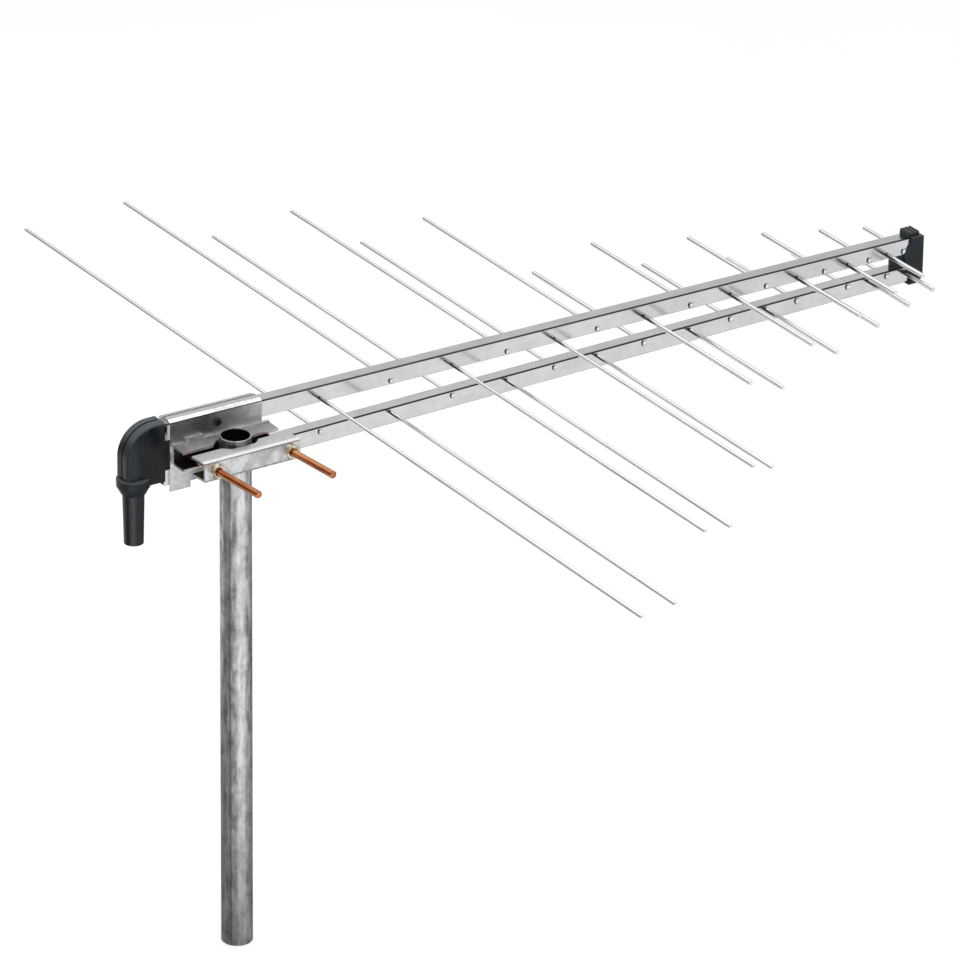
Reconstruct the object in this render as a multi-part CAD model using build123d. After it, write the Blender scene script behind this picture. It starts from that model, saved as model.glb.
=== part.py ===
from build123d import *
import math
import os

# Log periodic antenna on a short mast. All sizes are in millimetres.
# X runs from the mast to the short rods, Z is up, and the origin is the middle of the mast's foot.

# Mast
MAST_DIAMETER = 25.0
MAST_WALL = 1.5
MAST_BELOW_CLAMP = 423.0
MAST_ABOVE_CLAMP = 15.0

# Booms: two square-cornered tubes, one above the other, that draw together toward the front
BOOM_WIDTH = 12.4
BOOM_HEIGHT = 13.8
BOOM_WALL = 1.2
BOOM_CORNER = 0.9
BOOM_PITCH_AT_MAST = 36.7
BOOM_CONVERGENCE = 0.0184
BOOM_REAR_REACH = 49.5
BOOM_FRONT_OVERHANG = 11.3

# Dipoles: each is two half rods, one on each boom, and the sides swap from dipole to dipole
FIRST_DIPOLE_X = 91.0
LONG_GROUP_COUNT = 6
LONG_GROUP_LENGTH = 448.0
LONG_GROUP_RATIO = 0.888
LONG_GROUP_SPACING_RATIO = 0.1435
LONG_ROD_DIAMETER = 3.2
GROUP_GAP = 44.9
SHORT_GROUP_COUNT = 10
SHORT_GROUP_LENGTH = 153.0
SHORT_GROUP_RATIO = 0.880
SHORT_GROUP_SPACING_RATIO = 0.290
SHORT_ROD_DIAMETER = 3.8
ROD_INSET = 3.4
ROD_TIP_CHAMFER = 0.4
ROD_HOLE_CLEARANCE = 0.04
RIVET_HEAD_EXTRA = 0.9
RIVET_HEAD_HEIGHT = 1.1

# Mounting plate, on the near side of the booms
PLATE_THICKNESS = 2.0
PLATE_SETBACK = 4.5
PLATE_FRONT_X = 37.0
PLATE_FLANGE_THICKNESS = 1.6
PLATE_CREST_HEIGHT = 1.4
PLATE_CREST_WIDTH = 10.6
PLATE_CREST_BEVEL = 3.6
PLATE_GROOVE_WIDTH = 1.4
PLATE_GROOVE_DEPTH = 0.8
HOOK_THICKNESS = 1.8
HOOK_CLEARANCE = 0.1
HOOK_DROP = 4.0
TAB_LENGTH = 18.0
TAB_DROP = 5.0
SCREW_X = -3.0
SCREW_SHANK_DIAMETER = 3.5
SCREW_HEAD_DIAMETER = 6.6
SCREW_HEAD_HEIGHT = 2.0
SCREW_LENGTH = 4.8
SCREW_SLOT = 1.0

# Mast clamp: two channels with notches, drawn together by two bolts
JAW_HEIGHT = 16.0
JAW_WALL = 2.0
JAW_BEND_RADIUS = 1.0
JAW_END_MARGIN = 2.0
JAW_FRONT_X = 42.0
FIXED_JAW_DEPTH = 16.0
MOVING_JAW_DEPTH = 19.0
MOVING_NOTCH_DEPTH = 6.0
JAW_TILT_ANGLE = 4.5
NOTCH_MOUTH = 33.0
NOTCH_FLANK_ANGLE = 45.0
MAST_GRIP_CLEARANCE = 0.05
MAST_TO_PLATE = 9.3
LEDGE_HEIGHT = 1.2
LEDGE_DEPTH = 3.0
STEP_REAR_X = -33.0
STEP_LENGTH = 16.0
STEP_HEIGHT = 4.4
BOLT_SPACING = 66.0
BOLT_DIAMETER = 6.0
BOLT_HOLE_CLEARANCE = 0.5
BOLT_HEAD_DIAMETER = 13.5
BOLT_HEAD_HEIGHT = 3.2
BOLT_FREE_LENGTH = 62.0
BOLT_END_CHAMFER = 0.7
NUT_ACROSS_FLATS = 10.0
NUT_HEIGHT = 5.0
NUT_FLANGE_DIAMETER = 12.4
NUT_FLANGE_HEIGHT = 1.2
NUT_BORE_CLEARANCE = 0.05

# Cable housing on the rear ends of the booms
HOUSING_WIDTH = 17.0
HOUSING_WALL = 1.6
HOUSING_COVER = 3.0
HOUSING_FACE_GAP = 0.1
HOUSING_LENGTH = 33.5
HOUSING_BOTTOM = -21.5
HOUSING_CORNER_RADIUS = 26.0
HOUSING_EDGE = 2.2
PARTING_BEVEL = 0.9
SPIGOT_LENGTH = 9.0
SPIGOT_CLEARANCE = 0.15
COLLAR_DIAMETER = 26.6
COLLAR_HEIGHT = 13.0
COLLAR_DROP = 5.5
COLLAR_TAPER = 6.2
COLLAR_FOOT_DIAMETER = 20.0
COLLAR_ROUND = 1.5

# Sleeve and socket under the housing
SLEEVE_FROM_BOOM_END = 23.5
SLEEVE_TOP_DIAMETER = 17.4
SLEEVE_TIP_DIAMETER = 15.4
SLEEVE_BORE_DIAMETER = 13.2
SLEEVE_BORE_LENGTH = 28.0
SLEEVE_CHAMBER_DIAMETER = 14.0
SLEEVE_LENGTH = 42.5
SLEEVE_FLANGE_DIAMETER = 20.4
SLEEVE_FLANGE_HEIGHT = 3.0
SLEEVE_SEAT_DEPTH = 2.0
SLEEVE_CLEARANCE = 0.15
SOCKET_BARREL_DIAMETER = 9.4
SOCKET_BARREL_LENGTH = 18.0
SOCKET_FLANGE_DIAMETER = 12.0
SOCKET_FLANGE_HEIGHT = 2.0
SOCKET_BORE_DIAMETER = 7.0
SOCKET_FLOOR = 3.0
SOCKET_PIN_DIAMETER = 1.2

# Feeder inside the upper boom
FEEDER_DIAMETER = 4.0
FEEDER_OFFSET = 1.2
FEEDER_BEND_RADIUS = 22.0
FEEDER_HOLE_CLEARANCE = 0.2
FEEDER_END_SETBACK = 8.0
LINK_DIAMETER = 1.4
LINK_REACH = 3.6
LINK_BEND_RADIUS = 2.2
TERMINAL_LENGTH = 8.0
TERMINAL_CLEARANCE = 0.05

# Front cap over the front ends of the booms
CAP_NOSE = 7.0
CAP_NECK_LENGTH = 12.0
CAP_NECK_HEIGHT = 6.0
CAP_WAIST_HEIGHT = 6.0
CAP_CHIN = 5.0
CAP_WAIST_LENGTH = 18.0
CAP_LIP_LENGTH = 14.0
CAP_BROW = 0.4
CAP_BLOCK_HEIGHT = 4.0
CAP_BLOCK_SETBACK = 3.0
CAP_SPACER_LENGTH = 24.0
CAP_WALL = 1.6
CAP_SIDE_WALL = 2.4
CAP_FIT_CLEARANCE = 0.1
CAP_EDGE = 0.8
CAP_RIB_COUNT = 3
CAP_RIB_WIDTH = 1.4
CAP_RIB_HEIGHT = 0.7

# Levels and places that follow from the sizes above
MID_Z = MAST_BELOW_CLAMP
TILT = math.degrees(math.atan(BOOM_CONVERGENCE / 2))
PLATE_NEAR_Y = MAST_DIAMETER / 2 + MAST_TO_PLATE
PLATE_REAR_X = PLATE_SETBACK - BOOM_REAR_REACH
JAW_REAR_X = PLATE_REAR_X + JAW_END_MARGIN
PLATE_FAR_Y = PLATE_NEAR_Y + PLATE_THICKNESS
BOOM_Y = PLATE_FAR_Y + BOOM_WIDTH / 2
UPPER = 1
LOWER = -1
NEAR = -1
FAR = 1


def dipole_table():
    """Return the place along X, the half length and the rod diameter of each dipole."""
    rows = []
    place = FIRST_DIPOLE_X
    length = LONG_GROUP_LENGTH
    for _ in range(LONG_GROUP_COUNT):
        rows.append((place, length, LONG_ROD_DIAMETER))
        place += length * LONG_GROUP_SPACING_RATIO
        length *= LONG_GROUP_RATIO
    place = rows[-1][0] + GROUP_GAP
    length = SHORT_GROUP_LENGTH
    for _ in range(SHORT_GROUP_COUNT):
        rows.append((place, length, SHORT_ROD_DIAMETER))
        place += length * SHORT_GROUP_SPACING_RATIO
        length *= SHORT_GROUP_RATIO
    return rows


DIPOLES = dipole_table()
BOOM_FRONT_X = DIPOLES[-1][0] + BOOM_FRONT_OVERHANG


def boom_level(side, x):
    """Return the height of a boom's axis above or below the clamp's middle, at a place along X."""
    return side * (BOOM_PITCH_AT_MAST - BOOM_CONVERGENCE * x) / 2


def boom_frame(side):
    """Return the place and tilt of a boom's own axes, whose X runs along the tube."""
    return Location((0, BOOM_Y, MID_Z + boom_level(side, 0)), (0, side * TILT, 0))


def along_boom(x):
    """Return the distance along a tilted boom that lies over the place x."""
    return x / math.cos(math.radians(TILT))


def boom_block(side, rear_x, front_x, width, low, high):
    """Return a box in a boom's own axes, between two heights measured from the tube's middle."""
    start = along_boom(rear_x)
    length = along_boom(front_x) - start
    block = Box(length, width, high - low, align=(Align.MIN, Align.CENTER, Align.MIN))
    return boom_frame(side) * Pos(start, 0, low) * block


def rod_sides(number):
    """Return the boom and the side of the near and the far half of a dipole, counted from one."""
    near_boom = UPPER if number % 2 == 1 else LOWER
    return (near_boom, NEAR), (-near_boom, FAR)


def rod_height(boom, x):
    """Return the height of a rod, set in from its boom's axis toward the other boom."""
    return MID_Z + boom_level(boom, x) - boom * ROD_INSET


def cross_cylinder(radius, x, z, start_y, end_y):
    """Return a cylinder that lies along Y between two places."""
    length = end_y - start_y
    body = Cylinder(radius, abs(length), align=(Align.CENTER, Align.CENTER, Align.MIN))
    turn = -90 if length > 0 else 90
    return Pos(x, start_y, z) * Rot(turn, 0, 0) * body


def make_boom(side):
    """Return one boom: a tube with a bore for every rod that it carries and for its plate screw."""
    start = along_boom(-BOOM_REAR_REACH)
    length = along_boom(BOOM_FRONT_X) - start
    outer = RectangleRounded(BOOM_HEIGHT, BOOM_WIDTH, BOOM_CORNER)
    inner = Rectangle(BOOM_HEIGHT - 2 * BOOM_WALL, BOOM_WIDTH - 2 * BOOM_WALL)
    tube = extrude(outer - inner, length)
    tube = boom_frame(side) * Pos(start, 0, 0) * Rot(0, 90, 0) * tube
    half = BOOM_WIDTH
    bores = []
    for x, _, diameter in DIPOLES:
        radius = diameter / 2 + ROD_HOLE_CLEARANCE
        bores.append(cross_cylinder(radius, x, rod_height(side, x), BOOM_Y - half, BOOM_Y + half))
    z = MID_Z + boom_level(side, SCREW_X)
    radius = SCREW_SHANK_DIAMETER / 2 + ROD_HOLE_CLEARANCE
    bores.append(cross_cylinder(radius, SCREW_X, z, PLATE_NEAR_Y, BOOM_Y))
    return tube - bores


def make_rod(boom, side, x, length, diameter):
    """Return a half rod: its shank, a chamfered tip and the head that is set on the far web."""
    z = rod_height(boom, x)
    head_seat = BOOM_WIDTH / 2
    profile = [
        (0, head_seat + RIVET_HEAD_HEIGHT),
        (diameter / 2, head_seat + RIVET_HEAD_HEIGHT),
        (diameter / 2 + RIVET_HEAD_EXTRA, head_seat + RIVET_HEAD_HEIGHT / 3),
        (diameter / 2 + RIVET_HEAD_EXTRA, head_seat),
        (diameter / 2, head_seat),
        (diameter / 2, -length + ROD_TIP_CHAMFER),
        (diameter / 2 - ROD_TIP_CHAMFER, -length),
        (0, -length),
    ]
    outline = Plane.XY * make_face(Polyline(*profile, close=True))
    rod = revolve(outline, Axis.Y)
    turn = 0 if side == NEAR else 180
    return Pos(x, BOOM_Y, z) * Rot(0, 0, turn) * rod


def plate_outline():
    """Return the flat shape of the plate's web, from the lower boom's foot to the upper boom's top."""
    half = BOOM_HEIGHT / 2
    top_rear = boom_level(UPPER, PLATE_REAR_X) + half + PLATE_FLANGE_THICKNESS / 2
    top_front = boom_level(UPPER, PLATE_FRONT_X) + half + PLATE_FLANGE_THICKNESS / 2
    tab_x = PLATE_REAR_X + TAB_LENGTH
    foot_front = boom_level(LOWER, PLATE_FRONT_X) - half
    foot_tab = boom_level(LOWER, tab_x) - half
    tab_foot = boom_level(LOWER, PLATE_REAR_X) - half - TAB_DROP
    points = [
        (PLATE_REAR_X, top_rear),
        (PLATE_FRONT_X, top_front),
        (PLATE_FRONT_X, foot_front),
        (tab_x, foot_tab),
        (tab_x, tab_foot),
        (PLATE_REAR_X, tab_foot),
    ]
    return make_face(Polyline(*points, close=True))


def boom_prism(side, section, rear_x, front_x):
    """Return a section carried along a boom, between two upright planes.

    The section's X is across the booms and its Y is height, both from the tube's middle.
    """
    reach = 2 * (front_x - rear_x)
    upright = Plane(origin=(0, 0, 0), x_dir=(0, 1, 0), z_dir=(1, 0, 0))
    body = boom_frame(side) * extrude(upright * section, reach, both=True)
    size = 2 * reach
    slab = Pos((front_x + rear_x) / 2, BOOM_Y, MID_Z) * Box(front_x - rear_x, size, size)
    return body & slab


def make_plate_flange():
    """Return the top flange: a bevelled crest, a groove, and a lip that hooks the boom's far edge."""
    near = -BOOM_WIDTH / 2 - PLATE_THICKNESS
    seat = BOOM_HEIGHT / 2
    top = seat + PLATE_FLANGE_THICKNESS
    crest = top + PLATE_CREST_HEIGHT
    crest_end = near + PLATE_CREST_WIDTH
    floor = top - PLATE_GROOVE_DEPTH
    inside = BOOM_WIDTH / 2 + HOOK_CLEARANCE
    outside = inside + HOOK_THICKNESS
    points = [
        (near, seat),
        (near, top),
        (near + PLATE_CREST_BEVEL, crest),
        (crest_end, crest),
        (crest_end, floor),
        (crest_end + PLATE_GROOVE_WIDTH, floor),
        (crest_end + PLATE_GROOVE_WIDTH, top),
        (outside, top),
        (outside, seat - HOOK_DROP),
        (inside, seat - HOOK_DROP),
        (inside, seat),
    ]
    return boom_prism(UPPER, make_face(Polyline(*points, close=True)), PLATE_REAR_X, PLATE_FRONT_X)


def make_plate_hook():
    """Return the short flange that turns in under the lower boom."""
    width = PLATE_THICKNESS + BOOM_WIDTH + HOOK_CLEARANCE + HOOK_THICKNESS
    near = -BOOM_WIDTH / 2 - PLATE_THICKNESS
    section = Pos(near + width / 2, -BOOM_HEIGHT / 2 - PLATE_FLANGE_THICKNESS / 2) * Rectangle(
        width, PLATE_FLANGE_THICKNESS
    )
    return boom_prism(LOWER, section, PLATE_REAR_X, PLATE_REAR_X + TAB_LENGTH)


def make_mounting_plate():
    """Return the plate with its grooved top flange, its lower hook and the holes through it."""
    web = extrude(Plane.XZ * plate_outline(), PLATE_THICKNESS)
    web = Pos(0, PLATE_FAR_Y, MID_Z) * web
    plate = web + make_plate_flange() + make_plate_hook()
    neck = BOLT_DIAMETER + 2 * BOLT_HOLE_CLEARANCE
    for x in bolt_places():
        plate -= Pos(x, PLATE_FAR_Y, MID_Z) * Box(neck, 2 * PLATE_THICKNESS + BOLT_HOLE_CLEARANCE, neck)
    radius = SCREW_SHANK_DIAMETER / 2 + ROD_HOLE_CLEARANCE
    for side in (UPPER, LOWER):
        z = MID_Z + boom_level(side, SCREW_X)
        plate -= cross_cylinder(radius, SCREW_X, z, PLATE_NEAR_Y - PLATE_THICKNESS, BOOM_Y)
    return plate


def make_plate_screw(side):
    """Return a pan-head screw that holds the plate to one boom."""
    z = MID_Z + boom_level(side, SCREW_X)
    radius = SCREW_HEAD_DIAMETER / 2
    head = cross_cylinder(radius, SCREW_X, z, PLATE_NEAR_Y, PLATE_NEAR_Y - SCREW_HEAD_HEIGHT)
    rim = head.edges().sort_by(Axis.Y)[0]
    head = fillet(rim, SCREW_HEAD_HEIGHT / 2)
    shank = cross_cylinder(SCREW_SHANK_DIAMETER / 2, SCREW_X, z, PLATE_NEAR_Y, PLATE_NEAR_Y + SCREW_LENGTH)
    top = Pos(SCREW_X, PLATE_NEAR_Y - SCREW_HEAD_HEIGHT, z)
    slots = [top * Box(radius, SCREW_SLOT, SCREW_SLOT), top * Box(SCREW_SLOT, SCREW_SLOT, radius)]
    return head + shank - slots


def bolt_places():
    """Return the places along X of the two clamp bolts."""
    return (-BOLT_SPACING / 2, BOLT_SPACING / 2)


def make_jaw(depth, notch_depth):
    """Return a channel with a notch in both flanges, in its own axes.

    The middle of the channel's back is the origin, and the flanges point along +Y.
    """
    length = JAW_FRONT_X - JAW_REAR_X
    outer = Pos(depth / 2, 0) * Rectangle(depth, JAW_HEIGHT)
    outer = fillet(outer.vertices().group_by(Axis.X)[0], JAW_BEND_RADIUS)
    inner = Pos(JAW_WALL + depth / 2, 0) * Rectangle(depth, JAW_HEIGHT - 2 * JAW_WALL)
    upright = Plane(origin=(JAW_REAR_X, 0, 0), x_dir=(0, 1, 0), z_dir=(1, 0, 0))
    channel = extrude(upright * (outer - inner), length)
    seat = depth - notch_depth
    run = notch_depth / math.tan(math.radians(NOTCH_FLANK_ANGLE))
    half = NOTCH_MOUTH / 2
    points = [
        (-half - run, depth + notch_depth),
        (-half + run, seat),
        (half - run, seat),
        (half + run, depth + notch_depth),
    ]
    channel -= extrude(make_face(Polyline(*points, close=True)), JAW_HEIGHT, both=True)
    radius = BOLT_DIAMETER / 2 + BOLT_HOLE_CLEARANCE
    for x in bolt_places():
        channel -= cross_cylinder(radius, x, 0, -JAW_WALL, 2 * JAW_WALL)
    return channel


def make_fixed_jaw():
    """Return the jaw on the plate, with the ledge and the raised step along its back."""
    seat = MAST_TO_PLATE - MAST_GRIP_CLEARANCE
    jaw = mirror(make_jaw(FIXED_JAW_DEPTH, FIXED_JAW_DEPTH - seat), about=Plane.XZ)
    jaw = Pos(0, PLATE_NEAR_Y, MID_Z) * jaw
    top = MID_Z + JAW_HEIGHT / 2
    length = JAW_FRONT_X - JAW_REAR_X
    low_corner = (Align.MIN, Align.MAX, Align.MIN)
    root = JAW_BEND_RADIUS
    ledge = Box(length, LEDGE_DEPTH, LEDGE_HEIGHT + root, align=low_corner)
    step = Box(STEP_LENGTH, LEDGE_DEPTH, STEP_HEIGHT + root, align=low_corner)
    jaw += Pos(JAW_REAR_X, PLATE_NEAR_Y, top - root) * ledge
    jaw += Pos(STEP_REAR_X, PLATE_NEAR_Y, top - root) * step
    return jaw


def bolt_frame():
    """Return the place and lean of the bolts' own axes, whose -Y runs along the shanks.

    The bolts lean in their holes, so that the moving jaw bears on the mast with its upper flange.
    """
    return Location((0, PLATE_FAR_Y, MID_Z), (-JAW_TILT_ANGLE, 0, 0))


def moving_jaw_back():
    """Return the place of the moving jaw's outer face, along the bolts' own Y."""
    lean = math.radians(JAW_TILT_ANGLE)
    reach = PLATE_FAR_Y + MAST_DIAMETER / 2 + MAST_GRIP_CLEARANCE
    seat = (reach + JAW_HEIGHT / 2 * math.sin(lean)) / math.cos(lean)
    return -seat - (MOVING_JAW_DEPTH - MOVING_NOTCH_DEPTH)


def make_moving_jaw():
    """Return the jaw that the bolts draw against the mast."""
    return bolt_frame() * Pos(0, moving_jaw_back(), 0) * make_jaw(MOVING_JAW_DEPTH, MOVING_NOTCH_DEPTH)


def bolt_head_seat():
    """Return how far the leaning head's flat side stands off the plate's far face."""
    return BOLT_HEAD_DIAMETER / 2 * math.tan(math.radians(JAW_TILT_ANGLE))


def make_clamp_bolt(x):
    """Return a carriage bolt: a domed head behind the plate, a square neck and a long shank."""
    seat = bolt_head_seat()
    dome_radius = (BOLT_HEAD_DIAMETER ** 2 / 4 + BOLT_HEAD_HEIGHT ** 2) / (2 * BOLT_HEAD_HEIGHT)
    dome = Pos(0, 0, BOLT_HEAD_HEIGHT - dome_radius) * Sphere(dome_radius)
    foot = (Align.CENTER, Align.CENTER, Align.MIN)
    above = Box(BOLT_HEAD_DIAMETER, BOLT_HEAD_DIAMETER, BOLT_HEAD_HEIGHT, align=foot)
    head = Pos(x, seat, 0) * Rot(-90, 0, 0) * (dome & above)
    on_far_side = (Align.CENTER, Align.MAX, Align.CENTER)
    neck = Pos(x, seat, 0) * Box(BOLT_DIAMETER, PLATE_THICKNESS, BOLT_DIAMETER, align=on_far_side)
    shank = cross_cylinder(BOLT_DIAMETER / 2, x, 0, seat, moving_jaw_back() - BOLT_FREE_LENGTH)
    shank = chamfer(shank.edges().sort_by(Axis.Y)[0], BOLT_END_CHAMFER)
    return bolt_frame() * (head + neck + shank)


def make_clamp_nut(x):
    """Return a flanged hexagon nut that bears on the moving jaw."""
    seat = moving_jaw_back()
    hexagon = RegularPolygon(NUT_ACROSS_FLATS / 2, 6, major_radius=False)
    body = Pos(x, seat, 0) * Rot(90, 0, 0) * extrude(hexagon, NUT_HEIGHT)
    flange = cross_cylinder(NUT_FLANGE_DIAMETER / 2, x, 0, seat, seat - NUT_FLANGE_HEIGHT)
    bore = BOLT_DIAMETER / 2 + NUT_BORE_CLEARANCE
    return bolt_frame() * (body + flange - cross_cylinder(bore, x, 0, seat + NUT_HEIGHT, seat - 2 * NUT_HEIGHT))


def make_mast():
    """Return the mast: a plain round tube, cut square at both ends."""
    length = MAST_BELOW_CLAMP + MAST_ABOVE_CLAMP
    ring = Circle(MAST_DIAMETER / 2) - Circle(MAST_DIAMETER / 2 - MAST_WALL)
    return extrude(ring, length)


def housing_top():
    """Return the height of the housing's top above the clamp's middle."""
    return boom_level(UPPER, -BOOM_REAR_REACH) + BOOM_HEIGHT / 2 + HOUSING_COVER


def housing_outline(inset):
    """Return the housing's side shape: an elbow with one large rounded corner, drawn in by inset."""
    front = -BOOM_REAR_REACH - HOUSING_FACE_GAP - inset
    back = -BOOM_REAR_REACH - HOUSING_LENGTH + inset
    top = housing_top() - inset
    bottom = HOUSING_BOTTOM + inset
    radius = HOUSING_CORNER_RADIUS - inset
    start = (front, bottom)
    bend_top = (back + radius, top)
    bend_side = (back, top - radius)
    lines = [
        Line(start, (front, top)),
        Line((front, top), bend_top),
        RadiusArc(bend_top, bend_side, -radius),
        Line(bend_side, (back, bottom)),
        Line((back, bottom), start),
    ]
    return make_face(lines)


def sleeve_axis_x():
    """Return the place along X of the sleeve's axis."""
    return -BOOM_REAR_REACH - SLEEVE_FROM_BOOM_END


def collar_foot():
    """Return the height of the collar's lower edge, from the clamp's middle."""
    return HOUSING_BOTTOM - COLLAR_DROP


def sleeve_flange_top():
    """Return the height of the sleeve's flange, from the clamp's middle."""
    return collar_foot() + SLEEVE_SEAT_DEPTH + SLEEVE_FLANGE_HEIGHT


def make_collar():
    """Return the solid collar round the sleeve's axis, which narrows to its foot."""
    upright = (Align.CENTER, Align.CENTER, Align.MIN)
    taper = Cone(COLLAR_FOOT_DIAMETER / 2, COLLAR_DIAMETER / 2, COLLAR_TAPER, align=upright)
    ring = Cylinder(COLLAR_DIAMETER / 2, COLLAR_HEIGHT - COLLAR_TAPER, align=upright)
    ring = fillet(ring.edges().filter_by(GeomType.CIRCLE).sort_by(Axis.Z)[-1], COLLAR_ROUND)
    return taper + Pos(0, 0, COLLAR_TAPER) * ring


def housing_prism(inset):
    """Return the housing's side shape thickened across the booms, drawn in by inset all round."""
    width = HOUSING_WIDTH - 2 * inset
    prism = extrude(Plane.XZ * housing_outline(inset), width / 2, both=True)
    return Pos(0, BOOM_Y, MID_Z) * prism


def spigot(side):
    """Return the plug that a housing has in the rear end of one boom."""
    width = BOOM_WIDTH - 2 * BOOM_WALL - 2 * SPIGOT_CLEARANCE
    half = BOOM_HEIGHT / 2 - BOOM_WALL - SPIGOT_CLEARANCE
    rear = -BOOM_REAR_REACH - HOUSING_WALL / 2
    return boom_block(side, rear, -BOOM_REAR_REACH + SPIGOT_LENGTH, width, -half, half)


def make_housing():
    """Return the whole hollow housing with its collar, plugs and the passages for feeder and sleeve."""
    shell = housing_prism(0)
    edges = shell.faces().sort_by(Axis.Y)[0].edges() + shell.faces().sort_by(Axis.Y)[-1].edges()
    rounded = [edge for edge in edges if edge.center().X < -BOOM_REAR_REACH - HOUSING_EDGE]
    shell = fillet(rounded, HOUSING_EDGE)
    axis = Pos(sleeve_axis_x(), BOOM_Y, MID_Z + collar_foot())
    upright = (Align.CENTER, Align.CENTER, Align.MIN)
    shell += axis * make_collar()
    shell += spigot(UPPER)
    shell += spigot(LOWER)
    shell -= housing_prism(HOUSING_WALL)
    seat = Cylinder(SLEEVE_FLANGE_DIAMETER / 2 + SLEEVE_CLEARANCE, SLEEVE_FLANGE_HEIGHT, align=upright)
    below = (Align.CENTER, Align.CENTER, Align.MAX)
    neck = Cylinder(SLEEVE_TOP_DIAMETER / 2 + SLEEVE_CLEARANCE, 2 * COLLAR_HEIGHT, align=below)
    mouth = Cylinder(SOCKET_FLANGE_DIAMETER / 2 + SLEEVE_CLEARANCE, COLLAR_HEIGHT, align=upright)
    shell -= axis * Pos(0, 0, SLEEVE_SEAT_DEPTH) * seat
    shell -= axis * Pos(0, 0, SLEEVE_SEAT_DEPTH) * neck
    shell -= axis * Pos(0, 0, SLEEVE_SEAT_DEPTH) * mouth
    reach = SPIGOT_LENGTH + 2 * HOUSING_WALL
    radius = FEEDER_DIAMETER / 2 + FEEDER_HOLE_CLEARANCE
    passage = Cylinder(radius, 2 * reach)
    shell -= boom_frame(UPPER) * Pos(along_boom(-BOOM_REAR_REACH), 0, FEEDER_OFFSET) * Rot(0, 90, 0) * passage
    return shell


def make_housing_half(whole, side):
    """Return one half of the housing, with a bevel along the parting line."""
    size = 4 * HOUSING_LENGTH
    cut = Pos(-BOOM_REAR_REACH, BOOM_Y, MID_Z) * Box(
        size, size, size, align=(Align.CENTER, Align.MIN if side == FAR else Align.MAX, Align.CENTER)
    )
    half = whole & cut
    rim = extrude(Plane.XZ * housing_outline(0), PARTING_BEVEL, both=True)
    core = extrude(Plane.XZ * housing_outline(PARTING_BEVEL), PARTING_BEVEL, both=True)
    groove = Pos(0, BOOM_Y, MID_Z) * (rim - core)
    keep = Pos(-BOOM_REAR_REACH - HOUSING_EDGE, BOOM_Y, MID_Z + collar_foot() + COLLAR_HEIGHT) * Box(
        size, size, size, align=(Align.MAX, Align.CENTER, Align.MIN)
    )
    return half - (groove & keep)


def make_weather_sleeve():
    """Return the tapered sleeve, held in the collar by its flange and open at its foot."""
    top = sleeve_flange_top()
    under = top - SLEEVE_FLANGE_HEIGHT
    foot = collar_foot() - SLEEVE_LENGTH
    hole = SOCKET_BARREL_DIAMETER / 2 + ROD_HOLE_CLEARANCE
    points = [
        (hole, top),
        (SLEEVE_FLANGE_DIAMETER / 2, top),
        (SLEEVE_FLANGE_DIAMETER / 2, under),
        (SLEEVE_TOP_DIAMETER / 2, under),
        (SLEEVE_TIP_DIAMETER / 2, foot),
        (SLEEVE_BORE_DIAMETER / 2, foot),
        (SLEEVE_BORE_DIAMETER / 2, foot + SLEEVE_BORE_LENGTH),
        (SLEEVE_CHAMBER_DIAMETER / 2, foot + SLEEVE_BORE_LENGTH),
        (SLEEVE_CHAMBER_DIAMETER / 2, under),
        (hole, under),
    ]
    sleeve = revolve(Plane.XZ * make_face(Polyline(*points, close=True)), Axis.Z)
    return Pos(sleeve_axis_x(), BOOM_Y, MID_Z) * sleeve


def make_cable_socket():
    """Return the coaxial socket: a flange on the sleeve's top and a barrel that points down."""
    seat = sleeve_flange_top()
    tip = seat - SOCKET_BARREL_LENGTH
    pin = SOCKET_PIN_DIAMETER / 2
    points = [
        (0, seat + SOCKET_FLANGE_HEIGHT),
        (SOCKET_FLANGE_DIAMETER / 2, seat + SOCKET_FLANGE_HEIGHT),
        (SOCKET_FLANGE_DIAMETER / 2, seat),
        (SOCKET_BARREL_DIAMETER / 2, seat),
        (SOCKET_BARREL_DIAMETER / 2, tip),
        (SOCKET_BORE_DIAMETER / 2, tip),
        (SOCKET_BORE_DIAMETER / 2, seat - SOCKET_FLOOR),
        (pin, seat - SOCKET_FLOOR),
        (pin, tip + SOCKET_FLOOR),
        (0, tip + SOCKET_FLOOR),
    ]
    socket = revolve(Plane.XZ * make_face(Polyline(*points, close=True)), Axis.Z)
    return Pos(sleeve_axis_x(), BOOM_Y, MID_Z) * socket


def feeder_level(x):
    """Return the height of the feeder's middle in the upper boom, from the clamp's middle."""
    return boom_level(UPPER, x) + FEEDER_OFFSET


def feeder_end_x():
    """Return the place along X where the feeder's jacket ends, inside the upper boom."""
    return BOOM_FRONT_X - FEEDER_END_SETBACK


def make_feeder_cable():
    """Return the feeder: straight through the upper boom, then round one bend down to the socket."""
    bottom = sleeve_flange_top() + SOCKET_FLANGE_HEIGHT
    points = [
        (feeder_end_x(), BOOM_Y, MID_Z + feeder_level(feeder_end_x())),
        (sleeve_axis_x(), BOOM_Y, MID_Z + feeder_level(sleeve_axis_x())),
        (sleeve_axis_x(), BOOM_Y, MID_Z + bottom),
    ]
    path = FilletPolyline(*points, radius=FEEDER_BEND_RADIUS)
    section = Plane(origin=path @ 0, z_dir=path % 0) * Circle(FEEDER_DIAMETER / 2)
    return sweep(section, path=path)


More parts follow.
